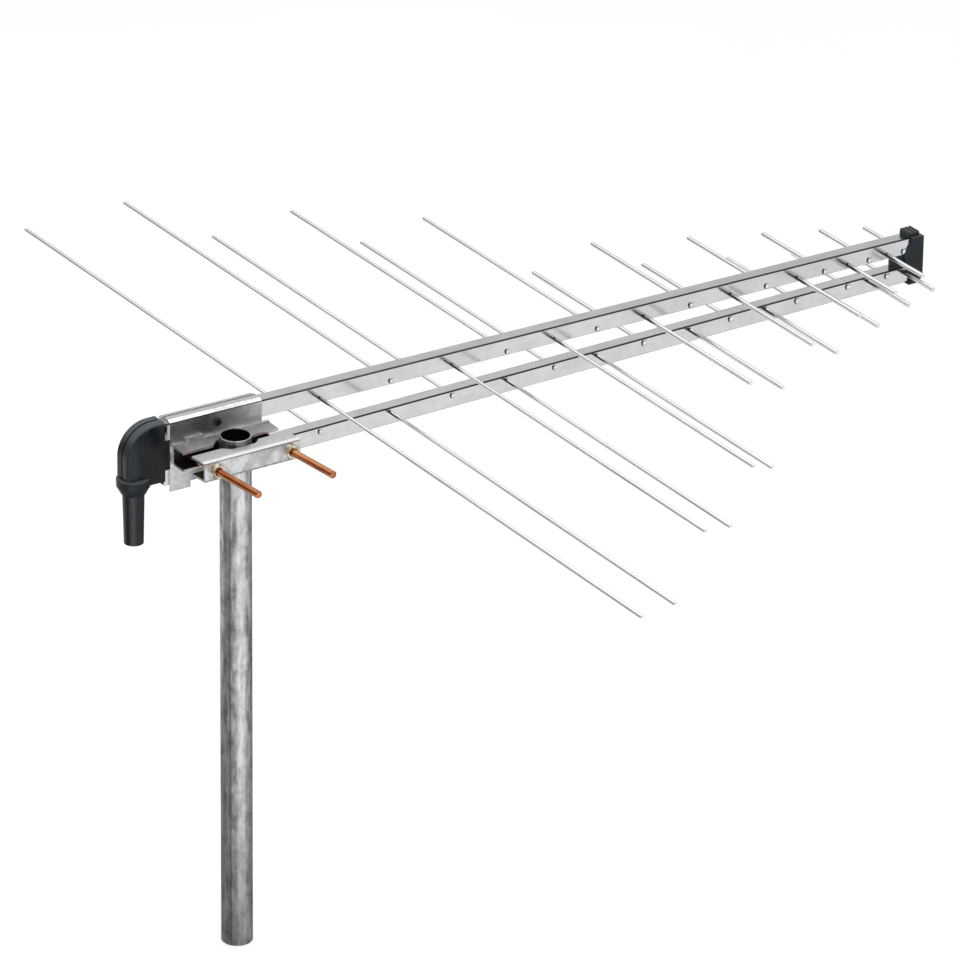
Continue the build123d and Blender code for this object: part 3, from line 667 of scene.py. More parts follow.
@dataclass(frozen=True)
class DrawnAluminium(Finish):
    """Bright aluminium with a drawn grain along one axis, faint clouding, a line and painted shade
    at the rod roots and set heads.
    """

    roughness: float = 0.12
    spread: Span = (0.8, 1.35)
    depth: float = 0.00005
    relief: float = 0.08
    axis: Axis = Axis.X
    dark: float = 0.68
    light: float = 0.78
    warmths: Span = (-0.02, -0.015)
    cloud_scale: float = 42.0
    grain_scale: float = 1500.0
    drawn: float = 0.02
    lines: Ramp = (0.35, 0.7, 0.0, 0.3)
    line_shade: float = 0.85
    top_line: Triple | None = None
    # Painted shade at a rod's root in front of the boom and on one side of its set head.
    root: Triple | None = None
    head_start: float = 0.0224
    root_side: Span = (-0.6, -0.9)
    head_side: Span = (-0.1, -0.4)
    root_shade_tone: float = 0.07

    def draw(self, surface: Surface) -> None:
        """Join grain, clouding, the line on top and the painted shade into colour and texture.

        Args:
            surface: The material's nodes.
        """
        stretch = [1.0, 1.0, 1.0]
        stretch[self.axis.value] = self.drawn
        values = {"Stretch": stretch, "Scale": self.grain_scale}
        grain = surface.effect(surface.effects.grain, **values)["Mask"]
        surface.clouded(self.cloud_scale, *map(grey, (self.dark, self.light), self.warmths))
        surface.tint(surface.ramp(grain, *self.lines), grey(self.dark * self.line_shade))
        if self.top_line is not None:
            surface.line_on_top(*self.top_line)
        # Painted shade at the rod roots and on one side of the set heads.
        if self.root is not None:
            surface.tint(self.root_shade(surface), grey(self.root_shade_tone))
        self.texture(surface, grain, grain, NOISE_BAND)

    def root_shade(self, surface: Surface) -> Socket:
        """Find where shade is painted on a rod: y is between its limits, on faces that look away
        from X.

        Along the root it grows from its start to full, and it takes in the side of the head.

        Args:
            surface: The material's nodes.

        Returns:
            A mask from 0 to 1.
        """
        start, full, end = self.root
        y = surface.split(surface.place)[1]
        before_end = surface.compute("LESS_THAN", y, end)
        root = surface.ramp(y, start, full)
        root = surface.product(root, before_end, surface.facing(Axis.X, *self.root_side))
        head = surface.compute("GREATER_THAN", y, self.head_start)
        head = surface.product(head, before_end, surface.facing(Axis.X, *self.head_side))
        return surface.compute("MAXIMUM", root, head)


@dataclass(frozen=True)
class RolledSheet(Finish):
    """Zinc-coated or mill-finish sheet metal: cloudy, with a dull bloom and small dark pits."""

    roughness: float = 0.36
    spread: Span = (1.4, 0.8)
    dark: float = 0.42
    light: float = 0.66
    warmths: Span = (-0.01, -0.005)
    scale: float = 90.0
    pitting: Cloud = Cloud(620.0, 3.0, 0.65, (0.62, 0.74))
    pits: float = 0.45
    pit_shade: float = 0.5
    top_line: Triple | None = None

    def draw(self, surface: Surface) -> None:
        """Join clouding, pits and the line on top into colour and texture.

        Args:
            surface: The material's nodes.
        """
        clouds = surface.clouded(self.scale, *map(grey, (self.dark, self.light), self.warmths))
        pits = surface.cloud(surface.place, self.pitting, self.pits)
        surface.tint(pits, grey(self.dark * self.pit_shade))
        if self.top_line is not None:
            surface.line_on_top(*self.top_line)
        self.texture(surface, clouds, clouds)


@dataclass(frozen=True)
class PlateSheet(RolledSheet):
    """The mounting plate: painted shade on its near face above the jaws, with a fine dark line
    under its crest.
    """

    near_side: Span = (-0.6, -0.9)
    # Painted shade on the near face above the jaws: its levels, its run along X and its grey.
    shade_levels: Span = (0.4295, 0.4345)
    shade_along: Ramp = (0.045, -0.030, 0.15, 0.75)
    plate_shade_tone: Colour = grey(0.15, -0.02)
    crest_level: float = 0.4494
    crest_slope: float = 0.0092
    crest_line: Span = (0.0007, 0.0003)
    crest_tone: float = 0.06

    def draw(self, surface: Surface) -> None:
        """Draw the sheet, paint shade on its near face above the jaws, and draw the line: |z +
        slope x - level| < half.

        Args:
            surface: The material's nodes.
        """
        super().draw(surface)
        x, _, z = surface.split(surface.place)
        near = surface.facing(Axis.Y, *self.near_side)
        above, along = surface.ramp(z, *self.shade_levels), surface.ramp(x, *self.shade_along)
        # Painted shade on the near face above the jaws.
        surface.tint(surface.product(near, above, along), self.plate_shade_tone)
        height = surface.compute("ADD", z, surface.product(x, self.crest_slope))
        line = surface.ramp(surface.off(height, self.crest_level), *self.crest_line)
        surface.tint(surface.product(near, line), grey(self.crest_tone))


@dataclass(frozen=True)
class ChannelSteel(RolledSheet):
    """Rolled zinc-coated channel whose hollow side is painted nearly black as shade.

    Its limits are in its own axes, with the lean taken off about the pivot.
    """

    pivot: Triple = (0.0, 0.0, 0.0)
    lean: float = 0.0
    inside: Span = (-1.0, 0.0)
    half_height: float = 0.00625
    # The grey of the painted shade between the flanges.
    hollow_shade_tone: float = 0.045
    # The white of the painted highlights on the ledge's top and on the strip along the top bend.
    highlight_tone: float = 0.95
    ledge: Span | None = None
    upward: Span = (0.5, 0.8)
    back: float | None = None
    back_skin: float = 0.0003
    # The dark lines along the bends are painted shade.
    bend_level: float = 0.0068
    bend_line: Span = (0.0006, 0.0003)
    bend_share: float = 0.75
    bend_shade_tone: float = 0.16
    strip_edge: Span = (0.0046, 0.0034)
    strip_level: float = 0.0074

    def draw(self, surface: Surface) -> None:
        """Draw the sheet, then paint shade and a highlight at its bends or a highlight on its
        ledge, and paint shade between the flanges.

        Args:
            surface: The material's nodes.
        """
        super().draw(surface)
        turn = math.radians(self.lean)
        shift = -(Matrix.Rotation(turn, 3, "X") @ Vector(self.pivot))
        values = {"Vector": surface.place, "Rotation": (turn, 0.0, 0.0), "Location": shift}
        _, y, z = surface.split(surface.add("Mapping", values).outputs[0])
        if self.back is not None:
            self.mark_bends(surface, y, z, self.back)
        if self.ledge is not None:
            # Painted highlight on the ledge's top.
            surface.tint(self.ledge_highlight(surface, y, z, self.ledge), grey(self.highlight_tone))
        # Painted shade between the flanges.
        surface.tint(self.hollow_shade(surface, y, z), grey(self.hollow_shade_tone))

    def mark_bends(self, surface: Surface, y: Socket, z: Socket, back: float) -> None:
        """Paint shade as a dark line along the back's edges and, on top, a highlight as a bright
        strip with no metal gloss.

        Args:
            surface: The material's nodes.
            y: A point's y in the channel's own axes.
            z: Its z there.
            back: The y of the channel's back.
        """
        on_back = surface.compute("LESS_THAN", y, back + self.back_skin)
        off = surface.off(surface.compute("ABSOLUTE", z), self.bend_level)
        line = surface.product(on_back, surface.ramp(off, *self.bend_line), self.bend_share)
        on_top = surface.compute("GREATER_THAN", z, self.strip_level)
        edge = surface.ramp(y, *(back + off_back for off_back in self.strip_edge))
        strip = surface.product(edge, on_top)
        # Painted shade along the bends.
        surface.tint(line, grey(self.bend_shade_tone))
        # Painted highlight on the strip along the top bend.
        surface.tint(strip, grey(self.highlight_tone))
        metallic = surface.ramp(strip, *WHOLE, self.metallic, 0.0)
        surface.join(surface.shader, {"Metallic": metallic})

    def ledge_highlight(self, surface: Surface, y: Socket, z: Socket, limits: Span) -> Socket:
        """Return the mask of the painted highlight on the ledge's top: y and z over limits, on a
        face that looks up.
        """
        over = [surface.compute("GREATER_THAN", *pair) for pair in zip((y, z), limits)]
        return surface.product(*over, surface.facing(Axis.Z, *self.upward))

    def hollow_shade(self, surface: Surface, y: Socket, z: Socket) -> Socket:
        """Find where shade is painted in the hollow: |z| < half height and y between its limits.

        Args:
            surface: The material's nodes.
            y: A point's y in the channel's own axes.
            z: Its z there.

        Returns:
            A mask of 0 or 1.
        """
        level = surface.compute("LESS_THAN", surface.compute("ABSOLUTE", z), self.half_height)
        over = surface.compute("GREATER_THAN", y, self.inside[0])
        return surface.product(level, over, surface.compute("LESS_THAN", y, self.inside[1]))


@dataclass(frozen=True)
class Plating(Finish):
    """A coloured plating on steel: two tones that drift along the part, and fine scratches."""

    roughness: float = 0.28
    spread: Span = (0.8, 1.5)
    depth: float = 0.00004
    relief: float = 0.3
    dark: Colour = (0.40, 0.09, 0.025, 1.0)
    light: Colour = (0.84, 0.37, 0.15, 1.0)
    scale: float = 160.0
    drawn: float = 1.0
    scratches: Triple = (1400.0, 4.0, 0.7)

    def draw(self, surface: Surface) -> None:
        """Join the two tones and the scratches into colour and texture.

        Args:
            surface: The material's nodes.
        """
        surface.clouded(self.scale, self.dark, self.light, self.drawn)
        scratch = surface.noise(surface.place, *self.scratches).outputs["Fac"]
        self.texture(surface, scratch, scratch, NOISE_BAND)


@dataclass(frozen=True)
class MouldedPlastic(Finish):
    """Black moulded plastic or rubber with a fine skin, a cool sheen, painted highlight streaks and
    a painted highlight on top and on a side.
    """

    metallic: float = 0.0
    roughness: float = 0.22
    spread: Span = (1.0, 1.45)
    depth: float = 0.00002
    relief: float = 0.4
    colour: Colour = (0.0035, 0.0045, 0.006, 1.0)
    bloom: Colour = (0.009, 0.012, 0.016, 1.0)
    shine: float = 0.22
    grain: float = 2600.0
    # The grey of the painted highlight on faces that look up.
    top_highlight: float = 0.045
    top_highlight_warmth: float = -0.12
    upward: Span = (0.1, 0.95)
    # How strong the painted highlight streaks are: lighter and diagonal.
    streak_highlight: float = 0.0
    streaks: Cloud = Cloud(95.0, 2.0, 0.5, (0.46, 0.66), (1.0, 1.0, 0.22), 38.0)
    streak_shade: float = 0.35
    streak_warmth: float = -0.2
    # A painted highlight: a band down the side that faces -X and -Y.
    side_highlight: float = 0.0
    side_highlight_tone: Colour = grey(0.06, -0.1)
    side_highlight_facings: tuple[tuple[Axis, float, float], ...] = (
        (Axis.X, -0.15, -0.5),
        (Axis.X, -0.9, -0.6),
        (Axis.Y, 0.0, -0.3),
    )

    def draw(self, surface: Surface) -> None:
        """Join the skin, the painted highlight streaks and the painted highlights on top and on a
        side into colour and texture.

        Args:
            surface: The material's nodes.
        """
        skin = surface.effect(surface.effects.moulded, Scale=self.grain)
        surface.colour = surface.mix(skin["Cloud"], self.colour, self.bloom)
        # Painted highlight: lighter diagonal streaks.
        streaks = surface.cloud(surface.place, self.streaks, self.streak_highlight)
        surface.tint(streaks, grey(self.top_highlight * self.streak_shade, self.streak_warmth))
        top = surface.facing(Axis.Z, *self.upward)
        # Painted highlight on faces that look up.
        surface.tint(top, grey(self.top_highlight, self.top_highlight_warmth))
        # Painted highlight down one side.
        if self.side_highlight:
            sides = [surface.facing(*side) for side in self.side_highlight_facings]
            surface.tint(surface.product(*sides, self.side_highlight), self.side_highlight_tone)
        surface.join(surface.shader, {"Specular IOR Level": self.shine})
        self.texture(surface, skin["Cloud"], skin["Height"])


FINISHES = (
    GalvanisedTube("galvanised_tube"),
    DrawnAluminium("boom_aluminium", top_line=(0.0243, 0.0012, 0.05)),
    DrawnAluminium(
        "rod_aluminium",
        axis=Axis.Y,
        dark=0.90,
        light=0.97,
        roughness=0.15,
        relief=0.03,
        root=(0.002, 0.014, 0.030),
    ),
    PlateSheet(
        "plate_aluminium",
        dark=0.52,
        light=0.70,
        scale=60.0,
        roughness=0.30,
        metallic=0.9,
        pits=0.15,
        relief=0.08,
        top_line=(0.0320, 0.0011, 0.04),
    ),
    ChannelSteel(
        "clamp_steel_fixed",
        metallic=0.8,
        pivot=(0.0, 0.0218, 0.423),
        inside=(-0.020, -0.00195),
        ledge=(-0.0031, 0.0088),
    ),
    ChannelSteel(
        "clamp_steel_moving",
        dark=0.56,
        light=0.82,
        metallic=0.65,
        pivot=(0.0, 0.0238, 0.423),
        lean=4.5,
        inside=(-0.04815, -0.020),
        back=-0.05009,
    ),
    RolledSheet("screw_steel", dark=0.03, light=0.10, scale=400.0, roughness=0.4),
    Plating("bolt_plating", roughness=0.12, drawn=0.05),
    Plating("nut_plating", light=(0.96, 0.93, 0.84, 1.0), dark=(0.42, 0.35, 0.22, 1.0), scale=260),
    Plating("socket_nickel", light=(0.72, 0.70, 0.66, 1.0), dark=(0.48, 0.46, 0.43, 1.0)),
    Plating("feed_copper", light=(0.86, 0.44, 0.26, 1.0), dark=(0.52, 0.20, 0.09, 1.0)),
    Plating("terminal_brass", light=(0.80, 0.62, 0.28, 1.0), dark=(0.52, 0.36, 0.13, 1.0)),
    MouldedPlastic("housing_plastic", top_highlight=0.09, streak_highlight=0.8),
    MouldedPlastic(
        "sleeve_rubber", roughness=0.30, shine=0.35, grain=1800.0, depth=0.00004, side_highlight=0.8
    ),
    MouldedPlastic(
        "feeder_jacket",
        colour=(0.55, 0.55, 0.54, 1.0),
        bloom=(0.66, 0.66, 0.64, 1.0),
        roughness=0.4,
        top_highlight=0.7,
    ),
    MouldedPlastic(
        "cap_plastic",
        colour=(0.012, 0.015, 0.018, 1.0),
        bloom=(0.024, 0.029, 0.033, 1.0),
        roughness=0.38,
        top_highlight=0.09,
    ),
)


class Palette:
    """The materials of the antenna, by the name of their finish."""

    def __init__(self) -> None:
        """Build the shared effects and, on them, each finish."""
        effects = Effects()
        self.made = {finish.name: finish.material(effects) for finish in FINISHES}

    def dress(self, nodes: Slots) -> None:
        """Give CAD nodes their finishes, in each of their objects' material slots.

        Args:
            nodes: The name of each node and of its finish.
        """
        for node, finish in nodes:
            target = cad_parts[node]
            if not target.material_slots:
                target.data.materials.append(self.made[finish])
            for place in target.material_slots:
                place.material = self.made[finish]
            LOG.info("dressed %s with %s", node, finish)

    def finish_piece(self, piece: Piece, slot: str, *nodes: str) -> None:
        """Give a new piece its finish and its body.

        Args:
            piece: The new object.
            slot: Its finish.
            nodes: The CAD nodes that it stands for, if any.
        """
        piece.data.materials.append(self.made[slot])
        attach(piece, BODY)
        if nodes:
            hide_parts(*nodes)
        LOG.info("made %s with %s", piece.name, slot)


@dataclass
class Mast:
    """The welded tube that carries the antenna."""

    radius: float = 12.5 * MM
    wall: float = 1.5 * MM
    lip: float = 0.25 * MM
    segments: int = 128
    rows: int = 24

    def rings(self, low: float, high: float) -> np.ndarray:
        """Return the tube's skin, out and back: each row is a ring of the wall's face.

        Args:
            low: The height of the foot.
            high: The height of the open top.

        Returns:
            Rings of a closed path: up the outside, over the lip and down the inside.
        """
        heights = np.linspace(low + self.lip, high - self.lip, self.rows)
        bore = self.radius - self.wall
        outside = np.stack([np.full(self.rows, self.radius), heights], axis=-1)
        inside = np.stack([np.full(self.rows, bore), heights[::-1]], axis=-1)
        over = np.array([(self.radius - self.lip, high), (bore + self.lip, high)])
        under = np.array([(bore + self.lip, low), (self.radius - self.lip, low)])
        return turned_rings(np.concatenate([outside, over, inside, under]), self.segments)

    def build(self, palette: Palette) -> None:
        """Make the tube in place of its CAD node.

        Args:
            palette: The materials.
        """
        low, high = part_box("mast_tube")
        piece = make_piece("mast_tube_skin", self.rings(low.z, high.z), closed_path=True)
        palette.finish_piece(piece, "galvanised_tube", "mast_tube")


@dataclass
class Dipoles:
    """The thirty-two half rods, each a drawn rod with a rounded tip and a set head."""

    long_radius: float = 1.6 * MM
    short_radius: float = 1.9 * MM
    long_count: int = 6
    head_extra: float = 0.9 * MM
    head_height: float = 1.1 * MM
    crown_share: float = 0.9
    crown_start: float = 0.12
    crown_rows: int = 6
    neck: float = 0.02 * MM
    tip_round: float = 0.45 * MM
    segments: int = 24
    crease: float = 50.0

    def profile(self, radius: float, length: float) -> np.ndarray:
        """Return the half rod's outline from the crown of its head to its tip.

        The tip is a quarter circle: r = flat + b cos t, h = length - b (1 - sin t).

        Args:
            radius: The rod's radius.
            length: Its length with the head.

        Returns:
            Points of (radius, distance).
        """
        head = radius + self.head_extra
        sweep = np.linspace(self.crown_start, QUARTER_TURN, self.crown_rows)
        dome = crown(head, self.head_height * self.crown_share, sweep)
        under = np.array([(head, self.head_height), (radius, self.head_height + self.neck)])
        bend = sweep - self.crown_start
        across = radius - self.tip_round + self.tip_round * np.cos(bend)
        tip = np.stack([across, length - self.tip_round * (1 - np.sin(bend))], axis=-1)
        return np.concatenate([dome, under, tip])

    def build(self, palette: Palette) -> None:
        """Make each half rod in place of its CAD node.

        Args:
            palette: The materials.
        """
        for name in sorted(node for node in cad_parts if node.startswith("rod_")):
            low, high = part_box(name)
            long = int(name.split("_")[1]) <= self.long_count
            near = name.endswith("near")
            radius = self.long_radius if long else self.short_radius
            profile = self.profile(radius, high.y - low.y)
            start, toward = (high.y, -1) if near else (low.y, 1)
            place = along_y((low.x + high.x) / 2, start, (low.z + high.z) / 2, toward)
            rings = placed(turned_rings(profile, self.segments), place)
            piece = make_piece(f"{name}_drawn", rings, crease=self.crease)
            palette.finish_piece(piece, "rod_aluminium", name)


@dataclass
class CarriageBolt:
    """A bolt with a domed head, a fine rolled thread and a chamfered end."""

    radius: float = 3.0 * MM
    head_radius: float = 6.75 * MM
    head_height: float = 3.2 * MM
    crown_start: float = 0.15
    crown_rows: int = 7
    head_edge: float = 0.05 * MM
    neck: float = 4.0 * MM
    thread_depth: float = 0.07 * MM
    pitch: float = 1.0 * MM
    rows_per_pitch: int = 4
    fade_in: float = 2.0 * MM
    fade_out: float = 1.2 * MM
    least_depth: float = 0.35
    thread_stop: float = 0.6 * MM
    lead: tuple[Span, Span] = ((0.55 * MM, 0.3 * MM), (0.95 * MM, 0.0))
    segments: int = 24

    def rings(self, shank: float) -> np.ndarray:
        """Draw the bolt along Z from the crown of its head to its chamfered end.

        On the threaded run r = R - d (1 + cos(2 pi z / p - t)) / 2, and d fades at its ends.

        Args:
            shank: The length from under the head to the end.

        Returns:
            Rings of shape (rows, segments, 3).
        """
        turn = full_turn(self.segments)
        seat, end = self.head_height, self.head_height + shank
        sweep = np.linspace(self.crown_start, QUARTER_TURN, self.crown_rows)
        neck_end = seat + self.neck
        under = [(self.head_radius, seat), (self.radius, seat + self.head_edge)]
        plain = np.array([*under, (self.radius, neck_end)])
        start = np.concatenate([crown(self.head_radius, seat, sweep), plain])
        heights = np.arange(neck_end, end - self.thread_stop, self.pitch / self.rows_per_pitch)
        heights = heights[:, None]
        fade = np.clip((heights - neck_end) / self.fade_in, 0, 1)
        fade = fade * np.clip((end - heights) / self.fade_out, self.least_depth, 1)
        wave = 0.5 * (1 + np.cos(2 * math.pi * heights / self.pitch - turn))
        threads = about_z(self.radius - self.thread_depth * fade * wave, turn, heights)
        lead = np.array([(self.radius - cut, end - before) for cut, before in self.lead])
        ends = [turned_rings(profile, self.segments) for profile in (start, lead)]
        return np.concatenate([ends[0], threads, ends[1]])


@dataclass
class FlangedNut:
    """A hexagonal nut on a round flange, with its outer corners cut by a cone."""

    bore: float = 3.05 * MM
    bore_chamfer: float = 0.5 * MM
    across_flats: float = 10.0 * MM
    height: float = 5.0 * MM
    flange_radius: float = 6.2 * MM
    flange_height: float = 1.2 * MM
    flange_rim: float = 0.6
    flange_top: float = 1.15
    fillet: float = 0.2 * MM
    cone_share: float = 0.97
    cone_slope: float = 1.4
    cone_drops: tuple[float, ...] = (0.9 * MM, 0.6 * MM, 0.3 * MM, 0.0)
    segments: int = 96
    crease: float = 25.0

    def rings(self) -> np.ndarray:
        """Draw the nut along Z as a closed path, out from the bore and back to it.

        The hexagon's radius is a / cos(t mod 60 degrees - 30 degrees), and the cone caps it.

        Returns:
            Rings of shape (rows, segments, 3).
        """
        turn = full_turn(self.segments)
        flat = self.across_flats / 2
        hexagon = flat / np.cos(np.mod(turn, math.pi / 3) - math.pi / 6)
        cone = flat * self.cone_share
        rows = [
            (self.bore, 0.0),
            (self.flange_radius, 0.0),
            (self.flange_radius, self.flange_height * self.flange_rim),
            (np.maximum(hexagon, flat + self.fillet), self.flange_height),
            (hexagon, self.flange_height * self.flange_top),
        ]
        for drop in self.cone_drops:
            capped = np.minimum(hexagon, cone + drop * self.cone_slope)
            rows.append((capped, self.height - drop))
        rows.append((self.bore + self.bore_chamfer, self.height))
        rows.append((self.bore, self.height - self.bore_chamfer))
        return np.stack([about_z(radius, turn, height) for radius, height in rows])


@dataclass
class Clamp:
    """The plate and the jaws, with the bolts and nuts that lean with them."""

    lean: float = 4.5
    pivot_y: float = 23.8 * MM
    below_top: float = 15.0 * MM
    spacing: float = 66.0 * MM
    head_seat: float = 0.53 * MM
    jaw_back: float = 50.09 * MM
    free_length: float = 62.0 * MM
    bolt: CarriageBolt = field(default_factory=CarriageBolt)
    nut: FlangedNut = field(default_factory=FlangedNut)
    finishes: Slots = (
        ("fixed_jaw", "clamp_steel_fixed"),
        ("moving_jaw", "clamp_steel_moving"),
        ("mounting_plate", "plate_aluminium"),
        ("plate_screw_lower", "screw_steel"),
        ("plate_screw_upper", "screw_steel"),
    )

    def lean_frame(self) -> Matrix:
        """Work out the bolts' own axes: X across, -Y along the shanks.

        Returns:
            The matrix of the axes, from the plate's far face at the mast.
        """
        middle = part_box("mast_tube")[1].z - self.below_top
        lean = Matrix.Rotation(math.radians(-self.lean), 4, "X")
        return Matrix.Translation((0.0, self.pivot_y, middle)) @ lean

    def build(self, palette: Palette) -> None:
        """Make the bolts and nuts in place of their CAD nodes, and dress the plate and jaws.

        Args:
            palette: The materials.
        """
        lean = self.lean_frame()
        shank = self.head_seat + self.jaw_back + self.free_length
        top_of_head = self.head_seat + self.bolt.head_height
        for label, side in (("rear", -1.0), ("front", 1.0)):
            x = side * self.spacing / 2
            bolt = placed(self.bolt.rings(shank), lean @ along_y(x, top_of_head, 0.0, -1))
            piece = make_piece(f"clamp_bolt_{label}_threaded", bolt)
            palette.finish_piece(piece, "bolt_plating", f"clamp_bolt_{label}")
            nut = placed(self.nut.rings(), lean @ along_y(x, -self.jaw_back, 0.0, -1))
            name = f"clamp_nut_{label}_flanged"
            piece = make_piece(name, nut, closed_path=True, crease=self.nut.crease)
            palette.finish_piece(piece, "nut_plating", f"clamp_nut_{label}")
        palette.dress(self.finishes)


@dataclass
class Booms:
    """The two tubes that carry the rods, and the line that feeds them at the front."""

    finishes: Slots = (
        ("upper_boom", "boom_aluminium"),
        ("lower_boom", "boom_aluminium"),
        ("feeder_cable", "feeder_jacket"),
        ("feed_link", "feed_copper"),
        ("feed_terminal", "terminal_brass"),
    )

    def build(self, palette: Palette) -> None:
        """Dress the booms and the feed line."""
        palette.dress(self.finishes)


@dataclass
class Mouldings:
    """The cable housing with its sleeve and socket, and the cap on the booms' front ends."""

    finishes: Slots = (
        ("housing_near", "housing_plastic"),
        ("housing_far", "housing_plastic"),
        ("weather_sleeve", "sleeve_rubber"),
        ("cable_socket", "socket_nickel"),
        ("front_cap", "cap_plastic"),
    )
    neck_along: Span = (-49.58 * MM, -42.0 * MM)
    neck_across: Span = (23.95 * MM, 35.5 * MM)
    neck_levels: Span = (411.5 * MM, 434.5 * MM)

    def neck_rings(self) -> np.ndarray:
        """Draw a plain block between the booms, on the housing's front face.

        Returns:
            Two rings of four corners, one at each end along X.
        """
        (near, far), (low, high) = self.neck_across, self.neck_levels
        corners = np.array([(near, low), (far, low), (far, high), (near, high)])
        along = np.broadcast_to(np.array(self.neck_along)[:, None, None], (2, 4, 1))
        return np.concatenate([along, np.broadcast_to(corners, (2, 4, 2))], axis=-1)

    def build(self, palette: Palette) -> None:
        """Dress the mouldings and the socket, and close the gap between the booms."""
        palette.dress(self.finishes)
        palette.finish_piece(make_piece("housing_neck", self.neck_rings()), "housing_plastic")


@dataclass(frozen=True)
class Viewpoint:
    """The place, aim and lens of the camera, as the photograph's perspective gives them."""

    place: Triple = (-2.6891, -4.4221, 2.8843)
    azimuth: float = -33.3207
    elevation: float = 25.5963
    roll: float = 0.6864
    lens: float = 281.71
    sensor: float = 36.0
    shift: Span = (0.00606, -0.00509)
    clip: Span = (0.1, 60.0)

    def axes(self) -> Matrix:
        """Work out the camera's axes: X is right, Y is up and Z points back, then rolled.

        Returns:
            The camera's matrix.
        """
        azimuth, elevation, roll = map(math.radians, (self.azimuth, self.elevation, self.roll))
        level = math.cos(elevation)
        along = (math.sin(azimuth) * level, -math.cos(azimuth) * level)
        back = Vector((*along, math.sin(elevation)))
        right = (-back).cross(Vector((0.0, 0.0, 1.0))).normalized()
        up = back.cross(right)
        across = math.cos(roll) * right + math.sin(roll) * up
        upward = math.cos(roll) * up - math.sin(roll) * right
        turned = Matrix((across, upward, back)).transposed().to_4x4()
        return Matrix.Translation(self.place) @ turned

    def create(self) -> None:
        """Add the camera and make it the scene's own."""
        data = bpy.data.cameras.new("view")
        data.sensor_fit = "HORIZONTAL"
        data.sensor_width = self.sensor
        data.lens = self.lens
        data.shift_x, data.shift_y = self.shift
        data.clip_start, data.clip_end = self.clip
        camera = bpy.data.objects.new("view", data)
        camera.matrix_world = self.axes()
        bpy.context.scene.collection.objects.link(camera)
        bpy.context.scene.camera = camera


@dataclass(frozen=True)
class Lamp:
    """A square area lamp that looks at the antenna's middle, and whether metal mirrors it."""

    name: str
    place: Triple
    size: float
    watts: float
    mirrored: bool
    aim: Triple = (0.25, 0.0, 0.35)

    def hang(self) -> None:
        """Add the lamp to the scene."""
        data = bpy.data.lights.new(self.name, "AREA")
        data.size = self.size
        data.energy = self.watts
        lamp = bpy.data.objects.new(self.name, data)
        lamp.visible_glossy = self.mirrored
        turned = (Vector(self.aim) - Vector(self.place)).to_track_quat("-Z", "Y")
        lamp.matrix_world = Matrix.Translation(self.place) @ turned.to_matrix().to_4x4()
        bpy.context.scene.collection.objects.link(lamp)


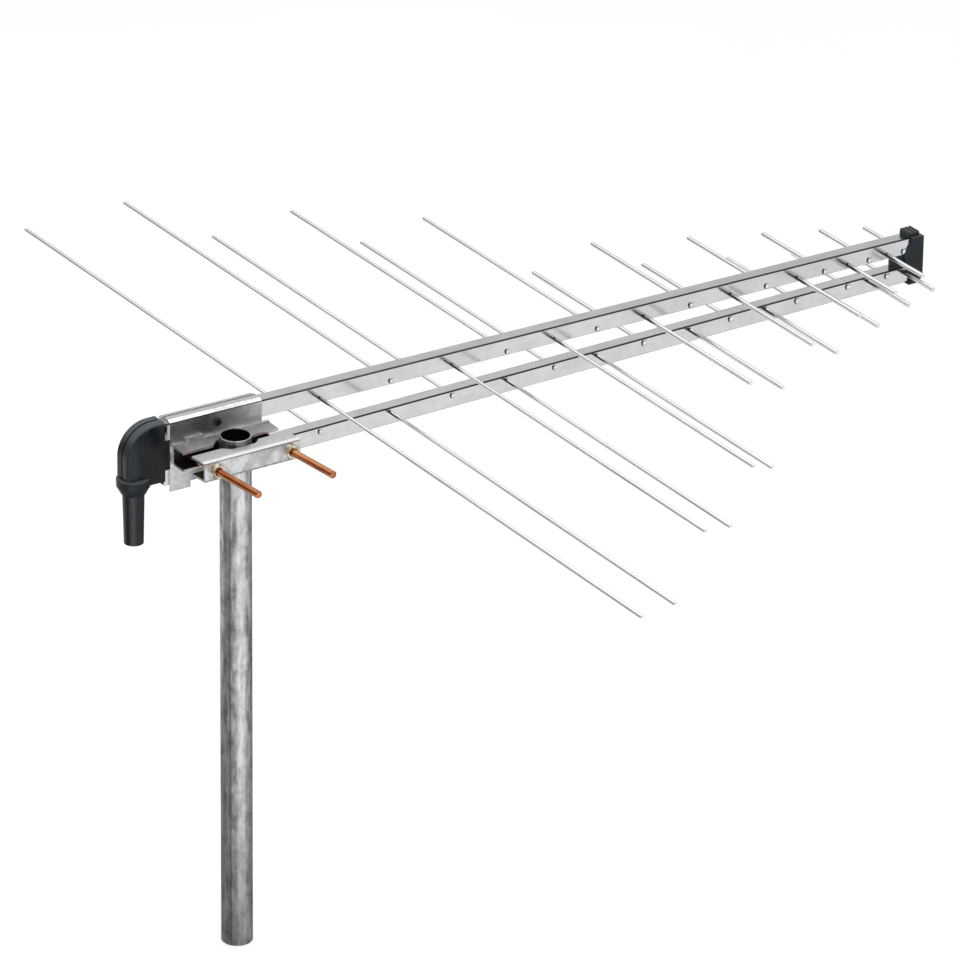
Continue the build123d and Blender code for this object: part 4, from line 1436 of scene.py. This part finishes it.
@dataclass
class Studio:
    """A pale floor, a soft world and two broad lamps.

    The floor's falloff holds places along Y and how bright the floor is there in reflections.
    The sky's ramps hold a direction's limits and the brightness at each of them.
    """

    floor_half: float = 30.0
    floor_cells: int = 4
    floor_tones: Span = (0.89, 0.91)
    floor_scale: float = 3.0
    floor_lift: float = 0.36
    falloff: tuple[Span, ...] = (
        (-0.34, 0.80),
        (0.0, 0.24),
        (0.34, 0.24),
        (0.50, 0.80),
        (1.50, 0.80),
        (2.40, 0.14),
    )
    beyond_front: Ramp = (0.9, 1.3, 0.0, 0.8)
    sky_fill: float = 0.46
    rear_sky: Ramp = (0.22, 0.46, 0.13, 1.0)
    front_sky: Ramp = (0.34, 0.62, 0.59, 1.0)
    sky_seam: Span = (-0.2, 0.2)
    near_sky: Ramp = (-0.9, -0.1, 0.56, 1.0)
    lamps: tuple[Lamp, ...] = (
        Lamp("key", (-1.0, -2.3, 2.6), 2.2, 44.0, mirrored=False),
        Lamp("top", (0.5, 0.5, 3.2), 2.4, 25.0, mirrored=True),
    )

    def floor(self) -> None:
        """Lay the floor: a flat grid of vertices at height 0."""
        row = self.floor_cells + 1
        steps = np.linspace(-self.floor_half, self.floor_half, row)
        x, y = np.meshgrid(steps, steps, indexing="ij")
        vertices = np.stack([x, y, np.zeros_like(x)], axis=-1).reshape(-1, 3)
        cells = np.arange(self.floor_cells)
        corner = (cells[:, None] * row + cells).reshape(-1)
        quads = np.stack([corner, corner + row, corner + row + 1, corner + 1], axis=-1)
        mesh = bpy.data.meshes.new("floor")
        mesh.from_pydata(vertices.tolist(), [], quads.tolist())
        mesh.materials.append(self.floor_material())
        floor = bpy.data.objects.new("floor", mesh)
        bpy.context.scene.collection.objects.link(floor)

    def floor_material(self) -> bpy.types.Material:
        """Mix the floor's matt white, which a camera or glossy ray sees lifted a little.

        Returns:
            The new material.
        """
        made = bpy.data.materials.new("floor_white")
        made.use_nodes = True
        sheet = NodeSheet(made.node_tree)
        rays = sheet.add("LightPath").outputs
        seen = sheet.compute("MAXIMUM", rays["Is Camera Ray"], rays["Is Glossy Ray"])
        seen = sheet.compute("MAXIMUM", seen, rays["Is Transmission Ray"])
        place = sheet.add("TexCoord").outputs["Object"]
        noise = sheet.noise(place, self.floor_scale, detail=3.0).outputs["Fac"]
        level = sheet.mix(rays["Is Glossy Ray"], WHITE, self.shade(sheet, place))
        tone = sheet.product(sheet.ramp(noise, *NOISE_BAND, *self.floor_tones), level)
        colour = sheet.add("CombineColor", {0: tone, 1: tone, 2: tone}).outputs[0]
        matt = sheet.add("BsdfDiffuse", {"Color": colour}).outputs[0]
        strength = sheet.product(seen, level, self.floor_lift)
        lift = sheet.add("Emission", {"Strength": strength}).outputs[0]
        total = sheet.add("AddShader", {0: matt, 1: lift}).outputs[0]
        sheet.add("OutputMaterial", {"Surface": total})
        return made

    def shade(self, sheet: NodeSheet, place: Socket) -> Socket:
        """Work out how bright the floor is in reflections: a ramp along Y through the falloff.

        Args:
            sheet: The floor material's nodes.
            place: Object coordinates.

        Returns:
            A grey that is bright in front, dim beside the antenna and dim again far behind it.
        """
        near, far = self.falloff[0][0], self.falloff[-1][0]
        x, y, _ = sheet.split(place)
        beside = sheet.compute("SUBTRACT", y, near)
        node = sheet.add("ValToRGB", {0: sheet.compute("DIVIDE", beside, far - near, clamp=True)})
        stops = node.color_ramp.elements
        while len(stops) < len(self.falloff):
            stops.new(1.0)
        for stop, (where, level) in zip(stops, self.falloff):
            stop.position = (where - near) / (far - near)
            stop.color = grey(level)
        return sheet.compute("MAXIMUM", node.outputs[0], sheet.ramp(x, *self.beyond_front))

    def sky(self) -> None:
        """Build the world: white to the camera, soft ramps in reflections, else a plain fill."""
        world = bpy.data.worlds.new("soft_sky")
        bpy.context.scene.world = world
        world.use_nodes = True
        sheet = NodeSheet(world.node_tree)
        rays = sheet.add("LightPath").outputs
        x, y, z = sheet.split(sheet.add("TexCoord").outputs["Generated"])
        rear, front = sheet.ramp(z, *self.rear_sky), sheet.ramp(z, *self.front_sky)
        mirrored = sheet.between(sheet.ramp(x, *self.sky_seam), rear, front)
        mirrored = sheet.product(mirrored, sheet.ramp(y, *self.near_sky))
        seen = sheet.compute("MAXIMUM", rays["Is Glossy Ray"], rays["Is Transmission Ray"])
        level = sheet.between(seen, self.sky_fill, mirrored)
        strength = sheet.compute("MAXIMUM", rays["Is Camera Ray"], level)
        back = sheet.add("Background", {"Color": WHITE, "Strength": strength}).outputs[0]
        sheet.add("OutputWorld", {"Surface": back})

    def build(self) -> None:
        """Set the colour view, the floor, the world and the lamps."""
        bpy.context.scene.view_settings.view_transform = "Standard"
        self.floor()
        self.sky()
        for lamp in self.lamps:
            lamp.hang()


def main() -> None:
    """Build the scene in order."""
    logging.basicConfig(level=logging.INFO, format="%(name)s: %(message)s")
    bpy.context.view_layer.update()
    Viewpoint().create()
    palette = Palette()
    for assembly in (Mast(), Booms(), Dipoles(), Clamp(), Mouldings()):
        assembly.build(palette)
        LOG.info("finished %s", type(assembly).__name__)
    Studio().build()


if __name__ == "__main__":
    main()
